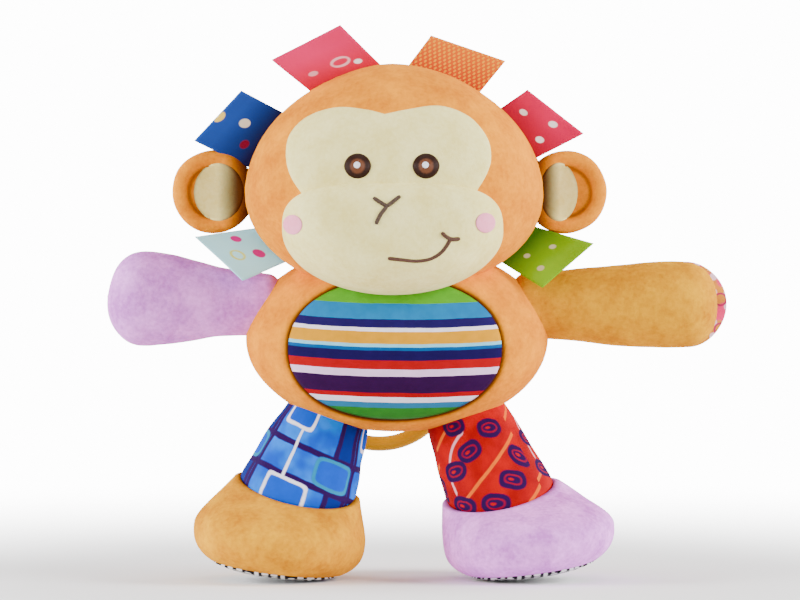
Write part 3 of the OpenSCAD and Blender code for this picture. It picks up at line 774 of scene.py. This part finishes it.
def stuffed_halves(form, names, centre, material, seed, shape_front=None):
    """The front and back covers of a stuffed form, which meet in its seam."""
    made = []
    for is_front, name in zip((True, False), names):
        rings = form.rings(is_front, rows=72, columns=200)
        from_seam = np.arange(len(rings)) - (len(rings) - 2)
        # painted shade along the seam, where the stitching draws the cloth in; shape_front can add painted shade of
        # its own
        fold = np.zeros(rings.shape[:2]) + 0.22 * bell(from_seam, 1.6)[:, None]
        if is_front and shape_front:
            rings, groove_shade = shape_front(rings)
            fold += groove_shade
        rings[:-4] = lumpy(rings[:-4], centre, 0.8 * MM, 34 * MM, seed + is_front)
        piece = from_rings(name, rings, material, close_last=False)
        shade_points(piece, fold)
        made.append(piece)
    return made


def make_head():
    front, back = stuffed_halves(head_form, ("head_front_cover", "head_back_cover"), HEAD, TAN, 1)
    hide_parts("head_front_panel", "head_stuffing")
    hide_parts("head_back_panel")
    for piece in (front, back):
        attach(piece, "head")


def reach_from(points, middle):
    """Outline through points (x, z) in millimetres, as distances from a middle."""
    curve = spline([*points, points[0]], 12)
    dx, dz = curve[:, 0] - middle[0], curve[:, 1] - middle[1]
    turn = np.arctan2(dz, dx)
    order = np.argsort(turn)
    return lambda t: MM * np.interp((t + np.pi) % (2 * np.pi) - np.pi, turn[order], np.hypot(dx, dz)[order],
                                    period=2 * np.pi)


# the mask's outline, in millimetres from the middle of the head
MASK_POINTS = [
    (-4.5, 32), (6, 34.2), (22.5, 36.2), (37, 31), (46.5, 21), (48.5, 11), (46.5, 3), (42, -4.5), (34, -14),
    (0, -22), (-38, -14), (-46, -6), (-51.5, 3), (-53.3, 13), (-51, 23), (-42, 31.5), (-28, 36), (-14, 34.6)]
MASK_MIDDLE = HEAD + np.array([-2, 0, 8]) * MM
MASK_LIFT = 1.6 * MM


def make_face_mask():
    piece = patch("face_mask_cover", MASK_MIDDLE, reach_from(MASK_POINTS, (-2, 8)), head_form.front_y, CREAM,
                  lift=MASK_LIFT, rows=36, columns=180)
    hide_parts("face_mask")
    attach(piece, "head")


MUZZLE = np.array([HEAD[0] - 0.7 * MM, HEAD[1], HEAD[2] - 25.5 * MM])
muzzle_low, muzzle_high = span("muzzle_cover")
MUZZLE_W = (muzzle_high[0] - muzzle_low[0]) / 2
MUZZLE_FRONT = muzzle_low[1]
muzzle_reach = oval(MUZZLE_W - 0.7 * MM, 24 * MM, 32.2 * MM, 3.1, 2.0)


def muzzle_rim(turn):
    """Depth of the muzzle's sewn edge: on the head's face, and tucked under the chin."""
    x = MUZZLE[0] + 0.97 * muzzle_reach(turn) * np.cos(turn)
    z = MUZZLE[2] + 0.97 * muzzle_reach(turn) * np.sin(turn)
    return np.minimum(head_form.front_y(x, z) + 1.0 * MM, HEAD[1] - 24 * MM)


def muzzle_y(s, turn):
    dome = (1 - np.clip(s, 0, 1) ** 2.8) ** 0.5
    crease = 1.6 * MM * bell(s * muzzle_reach(turn) * np.cos(turn), 5 * MM) * np.clip(s, 0, 1) ** 2
    return muzzle_rim(turn) * (1 - dome) + MUZZLE_FRONT * dome + crease * dome


def muzzle_front_y(x, z):
    dx, dz = x - MUZZLE[0], z - MUZZLE[2]
    turn = np.arctan2(dz, dx)
    return muzzle_y(np.hypot(dx, dz) / muzzle_reach(turn), turn)


def make_muzzle():
    turn = circle(200)
    edge = muzzle_reach(turn)
    rings = []
    for angle in np.linspace(0.012, 1, 64) * np.pi / 2:
        s = np.sin(angle)
        dip = 1.2 * MM * bell(angle - np.pi / 2, 0.06)
        rings.append(ring_at(MUZZLE, s * edge - dip, turn, muzzle_y(s + 0 * turn, turn)))
    front = np.array(rings)
    front[:-3] = lumpy(front[:-3], MUZZLE, 0.7 * MM, 26 * MM, 5)
    rings = list(front)
    for s in (0.96, 0.8, 0.5, 0.2):
        rings.append(ring_at(MUZZLE, s * edge, turn, muzzle_rim(turn) + 9 * MM * (1 - s)))
    piece = from_rings("muzzle_pad", rings, CREAM)
    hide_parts("muzzle_cover", "muzzle_stuffing")
    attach(piece, "head")


def mask_front_y(x, z):
    return head_form.front_y(x, z) - MASK_LIFT


def middle_of(node):
    low, high = span(node)
    return (low + high) / 2


def make_face_details():
    eyes = {side: middle_of(side + "_eye") for side in ("right", "left")}
    material = eye_material([eyes["right"], eyes["left"]])
    for side, at in eyes.items():
        round_eye = patch(side + "_eye_embroidery", at, lambda t: 6.7 * MM - 0.5 * MM * np.abs(np.sin(t)),
                          mask_front_y, material, lift=0.9 * MM, sunk=0.4 * MM, rows=14, columns=48, ride_up=0.5 * MM)
        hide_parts(side + "_eye")
        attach(round_eye, "head")
    for side, at in eyes.items():
        glint = patch(side + "_eye_glint", at + np.array([-0.3, 0, 0.5]) * MM, lambda t: 1.7 * MM + 0 * t,
                      lambda x, z: mask_front_y(x, z) - 1.25 * MM, WHITE_THREAD, lift=0.5 * MM, sunk=0.3 * MM,
                      rows=8, columns=24)
        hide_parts("eye_glints")
        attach(glint, "head")

    at = MUZZLE * np.array([1, 0, 1]) + np.array([-3.0, 0, 13.0]) * MM
    for name, points in (
        ("nose_stitch_right", [(-6.3, 3.6), (-3, 1.4), (0.4, -0.6)]),
        ("nose_stitch_left", [(6.8, 4.4), (3.5, 1.8), (0.4, -0.6)]),
        ("nose_stitch_stem", [(0.4, -0.6), (-2.6, -4.4), (-4.4, -7.8), (-4.8, -9.4)]),
    ):
        spots = [(at[0] + x * MM, at[2] + z * MM) for x, z in points]
        stitch = thread(name, spots, 2.0 * MM, muzzle_front_y, GREY_BROWN)
        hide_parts("nose_stitching")
        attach(stitch, "head")
    at = MUZZLE * np.array([1, 0, 1]) + np.array([2.0, 0, -13.0]) * MM
    for name, points in (
        ("mouth_stitch", [(-4.2, 0.1), (2.5, -0.6), (9.2, -1.2), (15, -0.6), (19.2, 1.1), (22.4, 3.6), (24.8, 6.8),
                          (26.6, 10)]),
        ("mouth_stitch_corner", [(22.0, 12.6), (24.2, 10.6), (27.0, 9.3), (31.0, 9.5)]),
    ):
        spots = [(at[0] + x * MM, at[2] + z * MM) for x, z in points]
        stitch = thread(name, spots, 2.0 * MM, muzzle_front_y, BROWN)
        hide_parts("mouth_stitching")
        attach(stitch, "head")
    for side, at in (("right", (-49.0, 3.2)), ("left", (45.6, 4.2))):
        spot = MUZZLE + np.array([at[0], 0, at[1]]) * MM
        cheek = patch(side + "_cheek_blush", spot, lambda t: 4.9 * MM + 0 * t, muzzle_front_y, BLUSH,
                      lift=0.35 * MM, sunk=0.4 * MM, rows=10, columns=40)
        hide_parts(side + "_cheek")
        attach(cheek, "head")


make_head()
make_face_mask()
make_muzzle()
make_face_details()

# ---------------------------------------------------------------- ears


# how far each ear's lining sits towards the head, and its half width and half height
EAR_LINING = {"right": (2.6, 12.6, 14.4), "left": (3.4, 9.6, 14.6)}


def ear_depth(share, inward):
    """Front and back depth of an ear, cupped and deepest on the side next to the head."""
    rim = np.clip((share - 0.6) / 0.4, 0, 1)
    fat = 3.6 * MM * (1 - 0.45 * np.clip(inward, 0, 1))
    cup = (2.6 + 3.4 * np.clip(inward, -0.3, 1)) * MM * (1 - np.minimum(share / 0.6, 1) ** 3)
    front = cup - fat * np.sqrt(np.maximum(1 - (2 * rim - 1) ** 2, 0))
    back = np.maximum(5.2 * MM * np.sqrt(np.maximum(1 - share**3, 0)), 0) + 0.35 * cup
    return front, back


def make_ear(side):
    sign = -1 if side == "right" else 1
    low, high = span(side + "_ear_front", side + "_ear_back")
    r = (high[2] - low[2]) / 2 + 0.3 * MM
    outer = low[0] if side == "right" else high[0]
    middle = np.array([outer - sign * r, (low[1] + high[1]) / 2, (low[2] + high[2]) / 2])
    turn = circle(96)
    inward = -sign * np.cos(turn)

    def ring(share, is_front):
        depth = ear_depth(share, inward * share)[0 if is_front else 1] + (0 if is_front else 0.3 * MM)
        return ring_at(middle, share * r, turn, middle[1] + depth)

    shares = np.concatenate([np.linspace(0.03, 0.58, 10), np.linspace(0.6, 1, 20)])
    front = [ring(s, True) for s in shares]
    back = [ring(s, False) for s in np.linspace(1.0, 0.03, 20)]
    rings = lumpy(np.array(front + back), middle, 0.5 * MM, 14 * MM, 9 + sign)
    ear = from_rings(side + "_ear_cover", rings, TAN)
    # painted shade on the ear cover: darkest on the side next to the head, and a little along the crease where the
    # rim starts
    crease = np.zeros(rings.shape[:2])
    head_side_shade = np.clip((inward[None, :] * shares[:, None] - 0.25) * 1.5, 0, 1)
    crease[:len(shares)] = head_side_shade + 0.35 * bell(shares[:, None] - 0.6, 0.05)
    shade_points(ear, crease)

    lining_at = middle + np.array([-sign * EAR_LINING[side][0], 0, 0]) * MM
    wide, tall = EAR_LINING[side][1:]
    lining_reach = oval(wide * MM, tall * MM, tall * MM)

    def cup_y(x, z):
        share = np.hypot(x - middle[0], z - middle[2]) / r
        toward = -sign * (x - middle[0]) / r
        return middle[1] + ear_depth(share, toward)[0]

    inner = patch(side + "_ear_lining", lining_at, lining_reach, cup_y, CREAM, lift=0.8 * MM, sunk=0.5 * MM,
                  rows=16, columns=64)
    # painted shade on the lining, darker towards the head
    away = np.array([v.co.x for v in inner.data.vertices])
    shade_points(inner, 0.95 * np.clip((-sign * (away - lining_at[0]) / MM + 0.05 * wide) / (0.85 * wide), 0, 1))
    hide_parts(side + "_ear_front", side + "_ear_back")
    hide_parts(side + "_ear_patch")
    for piece, slot in ((ear, "tan_plush"), (inner, "cream_plush")):
        hinge = pivot(side + "_ear_fold")
        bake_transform(piece)


make_ear("right")
make_ear("left")

# ---------------------------------------------------------------- ribbon tags


def make_ribbon(name, outer, inner, forward, curl, look):
    """A folded ribbon sewn into the head's seam. outer and inner are the ends (x, z) of its fold and of the
    line where it leaves the head, in millimetres from the middle of the head."""
    def spot(p):
        return HEAD + np.array([p[0], 0, p[1]]) * MM
    fold_a, fold_b, seam_a, seam_b = spot(outer[0]), spot(outer[1]), spot(inner[0]), spot(inner[1])
    reach = np.linalg.norm((fold_a + fold_b - seam_a - seam_b) / 2)
    wide = np.linalg.norm(fold_b - fold_a)
    columns, half_rows = 25, 28
    inside = 9 * MM                  # how far the ribbon runs into the head's seam
    gap = 1.0 * MM                   # half the space between its two layers
    ahead = [(-inside + (reach - gap + inside) * i / (half_rows - 1), -gap) for i in range(half_rows)]
    fold = [(reach - gap + gap * math.cos(a), gap * math.sin(a)) for a in np.linspace(-1.57, 1.57, 9)[1:-1]]
    path = ahead + fold + [(v, -side) for v, side in ahead[::-1]]
    rows = []
    for v, side in path:
        share = v / reach
        spread = 0.25 + 0.75 * min(max((v + inside) / inside, 0), 1)
        row = []
        for j in range(columns):
            u = j / (columns - 1)
            flat = (1 - share) * (seam_a * (1 - u) + seam_b * u) + share * (fold_a * (1 - u) + fold_b * u)
            wave = 0.8 * MM * math.sin(6 * u + 3 * share + len(name)) * max(share, 0)
            out = math.sin(forward) * max(v, 0) + curl * max(share, 0) ** 2 + wave - side * spread
            row.append(flat + FRONT * out)
        rows.append(row)
    rows = np.array(rows)
    material = ribbon_material(name, reach + inside, *look)
    obj = new_object(name + "_loop", rows.reshape(-1, 3), sheet_faces(len(path), columns, wrap=False), material)
    strip_uv(obj, len(path), columns, wide, 2 * (reach + inside))
    thick = obj.modifiers.new("thickness", "SOLIDIFY")
    thick.thickness = 0.4 * MM
    bake(obj)
    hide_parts(name.replace("_ribbon", "_tag"))
    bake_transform(obj)


PALE, BUTTER = (0.90, 0.84, 0.82), (0.85, 0.58, 0.10)
# each look: colour near the seam, darker as painted shade, colour at the fold, motifs, and whether it is ribbed
pink = ((0.58, 0.001, 0.02), (0.74, 0.012, 0.11), [
    ((9, 16), (2.4, 1.3), (0.80, 0.34, 0.40), False), ((24, 16), (5.0, 2.6), (0.86, 0.42, 0.46), True),
    ((31, 13), (2.0, 1.2), PALE, False)])
orange = ((0.56, 0.045, 0.0005), (0.72, 0.12, 0.001), [], True)
red = ((0.30, 0.0005, 0.006), (0.66, 0.001, 0.07), [
    ((9, 19), (2.2, 1.5), PALE, False), ((23, 24), (2.2, 1.6), PALE, False), ((27, 15), (2.2, 1.5), PALE, False)])
blue = ((0.004, 0.003, 0.045), (0.012, 0.055, 0.30), [
    ((20, 19), (2.6, 2.4), (0.70, 0.62, 0.46), False), ((17, 30), (3.4, 2.2), BUTTER, False),
    ((10, 13), (2.6, 1.8), (0.16, 0.002, 0.02), False), ((16, 34), (40, 1.6), (0.05, 0.42, 0.86), False)])
aqua = ((0.30, 0.74, 0.96), (0.44, 0.88, 1.0), [
    ((6, 17), (2.6, 2.0), (0.55, 0.01, 0.24), False), ((20, 15), (3.6, 2.2), (0.50, 0.01, 0.20), False),
    ((17, 23), (4.0, 2.8), (0.62, 0.72, 0.20), True)])
green = ((0.03, 0.11, 0.0005), (0.20, 0.42, 0.001), [
    ((9, 22), (1.9, 1.4), (0.50, 0.46, 0.26), False), ((12, 13), (1.8, 1.3), (0.42, 0.42, 0.22), False),
    ((24, 18), (1.7, 1.3), (0.50, 0.50, 0.28), False)])

make_ribbon("pink_ribbon", ((-60.8, 59.1), (-26.6, 76.5)), ((-41.9, 43.8), (-7.2, 57.5)), 0.10, 1 * MM, pink)
make_ribbon("orange_ribbon", ((18.3, 71.4), (55.5, 58.6)), ((7.1, 56.5), (43.8, 44.3)), -0.05, -1 * MM, orange)
make_ribbon("red_ribbon", ((66.3, 44.3), (94.4, 22.4)), ((50.0, 33.1), (70.4, 10.1)), 0.05, 1 * MM, red)
make_ribbon("blue_ribbon", ((-99.4, 18.9), (-75.9, 43.9)), ((-75.4, 7.2), (-55.5, 33.2)), 0.05, 2 * MM, blue)
make_ribbon("aqua_ribbon", ((-99.2, -28.9), (-75.5, -50.7)), ((-72.5, -25.0), (-52.5, -40.8)), 0.30, 1 * MM, aqua)
make_ribbon("green_ribbon", ((74.0, -54.3), (99.5, -32.2)), ((54.7, -42.2), (74.0, -24.8)), 0.30, 1 * MM, green)

# ---------------------------------------------------------------- body

belly_low, belly_high = span("belly_panel")
BELLY = np.array([(belly_low[0] + belly_high[0]) / 2 - 1.0 * MM, TORSO[1], belly_low[2] + 35.6 * MM])
BELLY_W = (belly_high[0] - belly_low[0]) / 2
BELLY_H = 35.2 * MM
belly_reach = oval(BELLY_W, BELLY_H, BELLY_H, 2.15, 2.15)


def make_body():
    def sewn_round_belly(rings):
        dx, dz = rings[..., 0] - BELLY[0], rings[..., 2] - BELLY[2]
        away = np.hypot(dx, dz) - belly_reach(np.arctan2(dz, dx))
        rings[..., 1] += 1.8 * MM * bell(away, 2.8 * MM)
        # the groove round the belly is real; the second value is painted shade in it
        return rings, 0.9 * bell(away, 1.5 * MM)

    front, back = stuffed_halves(torso_form, ("torso_front_cover", "torso_back_cover"), TORSO, TAN, 20,
                                 sewn_round_belly)
    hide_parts("torso_front_panel", "torso_stuffing", "neck_stuffing")
    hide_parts("torso_back_panel")
    for piece in (front, back):
        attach(piece, "torso")
    belly = patch("belly_stripes_panel", BELLY, belly_reach, lambda x, z: torso_form.front_y(x, z) + 0.6 * MM,
                  belly_material(BELLY[2] + BELLY_H, BELLY[2] - BELLY_H, BELLY[0]), lift=1.5 * MM, rows=40,
                  columns=180, ride_up=1.0 * MM)
    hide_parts("belly_panel")
    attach(belly, "torso")


make_body()


def make_ring():
    """The moulded ring, with the fine ridge where the mould's halves met, and its fabric loop."""
    low, high = span("hanging_ring")
    bar = (high[1] - low[1]) / 2
    centre = (low + high) / 2
    r = (high[0] - low[0]) / 2 - bar
    rings = []
    turn = circle(32)
    for a in circle(160):
        out = np.array([math.cos(a), 0, math.sin(a)])
        width = bar * (1 + 0.03 * bell((turn + np.pi) % (2 * np.pi) - np.pi, 0.12))
        rings.append(centre + out * r + (width * np.cos(turn))[:, None] * out + (bar * np.sin(turn))[:, None] * FRONT)
    rings = np.array(rings)
    rows, columns = rings.shape[:2]
    faces = [(i * columns + j, ((i + 1) % rows) * columns + j, ((i + 1) % rows) * columns + (j + 1) % columns,
              i * columns + (j + 1) % columns) for i in range(rows) for j in range(columns)]
    ring = new_object("plastic_ring", rings.reshape(-1, 3), faces,
                      plastic("ring_plastic", (0.42, 0.20, 0.0002), (0.54, 0.28, 0.0003)))
    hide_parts("hanging_ring")
    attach(ring, "ring")

    seat = pivot("ring_swing")
    loop_r = bar + 1.1 * MM
    half_w = 6 * MM
    path = [mm(-16, 0.3), mm(-11, 1.2), mm(-6, 3.4)]
    path += [(loop_r * math.cos(a), loop_r * math.sin(a)) for a in np.linspace(2.2, -2.2, 30)]
    path += [mm(-6, -3.4), mm(-11, -1.6), mm(-16, -0.9)]
    columns = 13
    rows = np.array([[(seat[0] + half_w * (2 * j / (columns - 1) - 1), seat[1] + y, seat[2] + z)
                      for j in range(columns)] for y, z in path])
    loop = new_object("ring_fabric_loop", rows.reshape(-1, 3), sheet_faces(len(path), columns, wrap=False), TAN)
    thick = loop.modifiers.new("thickness", "SOLIDIFY")
    thick.thickness = 1.0 * MM
    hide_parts("ring_loop")
    length = sum(math.dist(a, b) for a, b in zip(path, path[1:]))
    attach(loop, "torso")


make_ring()

# ---------------------------------------------------------------- arms


def cap(t, length, power):
    """Rounds off the last part of a limb, t being the distance to its end."""
    u = np.clip(t / length, 0, 1)
    return (1 - (1 - u) ** power) ** (1 / power)


def make_arm(side, tip_power, profile, rise, front_material, back_longer=0.0):
    """profile gives half heights at even steps from the shoulder to the tip."""
    sign = -1 if side == "right" else 1
    low, high = span(side + "_arm_front", side + "_arm_back")
    root = pivot(side + "_arm_swing")
    tip_x = low[0] if side == "right" else high[0]
    start = root + np.array([-sign * 10 * MM, 0, 0])
    front_end = np.array([tip_x, root[1], root[2] + rise])
    length = abs(front_end[0] - start[0])
    places = np.linspace(0, 1, len(profile))

    def half_up(t):
        body = np.interp(t, places, profile) * MM
        power = tip_power if is_front else min(tip_power, 2.0)
        return body * cap(t * length, 9 * MM, 2) * cap((1 - t) * length, 19 * MM, power)

    columns = 60
    step = np.arange(columns)
    away = np.minimum(step, columns - 1 - step) * np.pi / (columns - 1)
    pull = 1 - 0.045 * bell(away, 0.07)                # the seam draws the cloth in
    rows = np.concatenate([np.linspace(0.001, 0.08, 6), np.linspace(0.1, 0.78, 40),
                           1 - np.linspace(0.45, 0.0, 34) ** 2])
    rows[-1] = 0.9999
    for is_front in (True, False):
        angles = np.linspace(0, np.pi, columns) if is_front else np.linspace(np.pi, 2 * np.pi, columns)
        end = front_end if is_front else front_end + np.array([sign * back_longer, 0, 0])
        rings = along_axis(start, end, rows, half_up, 0.94, angles)
        rings = lumpy(rings, (start + end) / 2, 1.0 * MM, 22 * MM, 30 + sign)
        axis = (start + (end - start) * rows[:, None])[:, None, :]
        rings = axis + (rings - axis) * pull[None, :, None]
        lip = 0.9 if is_front else 0.0                 # the back panel is closed, as it shows past the tip
        first, last = (axis + (edge - axis) * lip for edge in (rings[:, :1], rings[:, -1:]))
        rings = np.concatenate([first, rings, last], axis=1)
        faces = sheet_faces(len(rows), rings.shape[1], wrap=False)
        if sign < 0:
            faces = [f[::-1] for f in faces]
        name = side + ("_arm_front_cover" if is_front else "_arm_back_cover")
        piece = new_object(name, rings.reshape(-1, 3), faces, front_material if is_front else ARM_PRINT)
        nodes = [side + "_arm_front", side + "_arm_stuffing"] if is_front else [side + "_arm_back"]
        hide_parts(*nodes)
        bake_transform(piece)


ARM_PRINT = arm_print_material("arm_print")
make_arm("right", 2.1, [15, 15.5, 16.4, 18.0, 20.2, 22.4, 23.8, 24.2, 24], 4.5 * MM, LILAC)
make_arm("left", 2.6, [16, 16.5, 17.5, 19, 20.5, 21.5, 21.8, 21.4, 20.5], 0.5 * MM, YELLOW, 5 * MM)

# ---------------------------------------------------------------- legs


def sleeve_map(obj, turn, down):
    """U runs once round the leg from its back, 0 at the front, and V down it."""
    columns = len(turn)
    layer = obj.data.uv_layers.new(name="cloth")
    for loop in obj.data.loops:
        i, j = divmod(loop.vertex_index, columns)
        layer.data[loop.index].uv = (GIRTH * (j / (columns - 1) - 0.5), down[i, j])


FOOT_LOW_POWER = 2.7             # how square the foot's side is, seen from the front
FOOT_MIDDLE = 21 * MM            # its half height, and the height of its middle
FOOT_ROLL, FOOT_YAW = 0.14, 0.28                       # radians, outwards


def make_leg(side, cloth, foot_material, seam):
    """A printed sleeve and a stuffed foot, which meet in a seam that sags at the front. seam is how far the
    seam's middle is outside and below the hip, its radius, its sag and how much higher its outer end is."""
    sign = -1 if side == "right" else 1
    hip = pivot(side + "_leg_swing")
    low, high = span(side + "_foot_upper", side + "_sole")
    wide = (high[0] - low[0]) / 2
    long = (high[1] - low[1]) / 2
    foot = np.array([(low[0] + high[0]) / 2, (low[1] + high[1]) / 2, FOOT_MIDDLE])
    out_by, down_by, seam_r, sag, lift = (v * MM for v in seam)
    ankle = hip + np.array([sign * out_by, 0, -down_by])
    way = unit(ankle - hip)
    across = unit(np.array([-way[2], 0, way[0]]))

    a, b = math.cos(FOOT_YAW * sign), math.sin(FOOT_YAW * sign)
    toes, out = np.array([b, -a, 0.0]), np.array([a, b, 0.0])
    a, b = math.cos(FOOT_ROLL * sign), math.sin(FOOT_ROLL * sign)
    out, top = out * a + np.array([0, 0, 1.0]) * b, np.array([0, 0, 1.0]) * a - out * b

    def surface(direction):
        x, y, z = direction @ out, direction @ toes, direction @ top
        flat = np.sqrt((x / wide) ** 2 + (y / long) ** 2)
        low_r = (flat**FOOT_LOW_POWER + (np.abs(z) / FOOT_MIDDLE) ** FOOT_LOW_POWER) ** (-1 / FOOT_LOW_POWER)
        return foot + direction * low_r[..., None]

    columns = 161
    turn = np.linspace(1.5 * np.pi, -0.5 * np.pi, columns)
    round_leg = across * np.cos(turn)[:, None] + FRONT * np.sin(turn)[:, None]

    def point(polar):
        direction = top * np.cos(polar)[..., None] + (
            out * np.cos(turn)[:, None] + toes * np.sin(turn)[:, None]) * np.sin(polar)[..., None]
        return surface(direction)

    widest = np.full(columns, np.pi / 2)
    rim = np.full(columns, 2.0)
    for _ in range(12):
        rim += 0.5 * (((point(rim) - foot) @ top) / (17.2 * MM) + 1)
    drop = min(point(np.full(columns, q))[:, 2].min() for q in np.linspace(2.2, 3.1, 40)) - 0.6 * MM
    down = np.array([0, 0, drop])

    dip = np.where(np.sin(turn) > 0, 1.0, 0.4) * np.sin(turn)
    seam_line = ankle + seam_r * np.stack([np.cos(turn), -0.96 * np.sin(turn), np.zeros(columns)], axis=1)
    seam_line[:, 2] += sign * np.cos(turn) * lift / 2 - sag * dip
    girdle = point(widest) - down
    puff = 0.22 + 0.38 * np.abs(np.sin(turn))
    bend = girdle + top * (puff * ((seam_line - girdle) @ top))[:, None]
    rows = []
    for t in np.linspace(0, 1, 44):
        rows.append((1 - t) ** 2 * seam_line + 2 * t * (1 - t) * bend + t**2 * girdle)
    rows += [point(widest * (1 - t) + rim * t) - down for t in np.linspace(0, 1, 21)[1:]]
    upper = np.array(rows)
    upper[3:-3] = lumpy(upper[3:-3], foot, 1.0 * MM, 26 * MM, 40 + sign)
    row = np.arange(len(upper))
    groove = 0.040 * bell(row, 1.6) + 0.022 * bell(row - row[-1], 1.6)
    upper += (foot - upper) * groove[:, None, None]
    tuck = upper[0] + (foot - upper[0]) * 0.05
    shoe = from_rings(side + "_foot_cover", np.concatenate([tuck[None], upper])[:, :-1], foot_material,
                      close_first=False, close_last=False)
    row = np.arange(len(upper) + 1)
    # painted shade at the seam with the sleeve and along the edge above the sole
    fold = 0.3 * bell(row - 1, 1.5) + 0.2 * bell(row - row[-1], 1.2)
    shade_points(shoe, np.repeat(fold, columns - 1))
    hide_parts(side + "_foot_upper")
    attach(shoe, side + "_leg")

    under = np.array([point(rim * (1 - t) + (np.pi - 0.02) * t) for t in np.linspace(-0.02, 1, 40)]) - down
    under += unit(under - foot) * 0.3 * MM
    under[0] += (foot - under[0]) * 0.05
    under[..., 2] = np.maximum(under[..., 2], 0.2 * MM)
    sole = from_rings(side + "_sole_cover", under[:, :-1], SOLE, close_first=False)
    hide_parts(side + "_sole")
    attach(sole, side + "_leg")

    last = upper[0] + (foot - upper[0]) * 0.012
    flatter = np.array([1.0, 0.84, 1.0])               # the leg leaves the body from behind its front
    first = hip - way * 14 * MM - 9 * MM * FRONT + 19 * MM * round_leg * flatter
    waist = hip + way * 6 * MM - 5 * MM * FRONT + (seam_r - 5.6 * MM) * round_leg * flatter
    rows = []
    for t in np.linspace(0, 1, 48):
        ring = (1 - t) ** 2 * first + 2 * t * (1 - t) * waist + t**2 * last
        middle = ring.mean(axis=0)
        wrinkle = 0.016 * np.sin(3 * turn + 9 * t) * (1 - t) + 0.012 * np.sin(5 * turn - 12 * t + sign)
        wrinkle = wrinkle * np.sin(np.pi * t) - 0.02 * bell(t - 1, 0.03)
        rows.append(ring + (ring - middle) * wrinkle[:, None])
    rows.append(rows[-1] + (foot - rows[-1]) * 0.06)
    rows = np.array(rows)
    sleeve = new_object(side + "_leg_sleeve_cover", rows.reshape(-1, 3),
                        sheet_faces(len(rows), columns, wrap=False), cloth)
    sleeve_map(sleeve, turn, (rows - hip) @ way)
    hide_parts(side + "_leg_sleeve", side + "_leg_stuffing")
    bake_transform(sleeve)


SOLE = sole_material("sole_print")
make_leg("right", checks_material("blue_print"), YELLOW,
         (12.4, 27.8, 30.6, 8.5, 11.9))
make_leg("left", beans_material("red_print"), LILAC,
         (14.0, 30.5, 28.4, 8.0, 10.5))
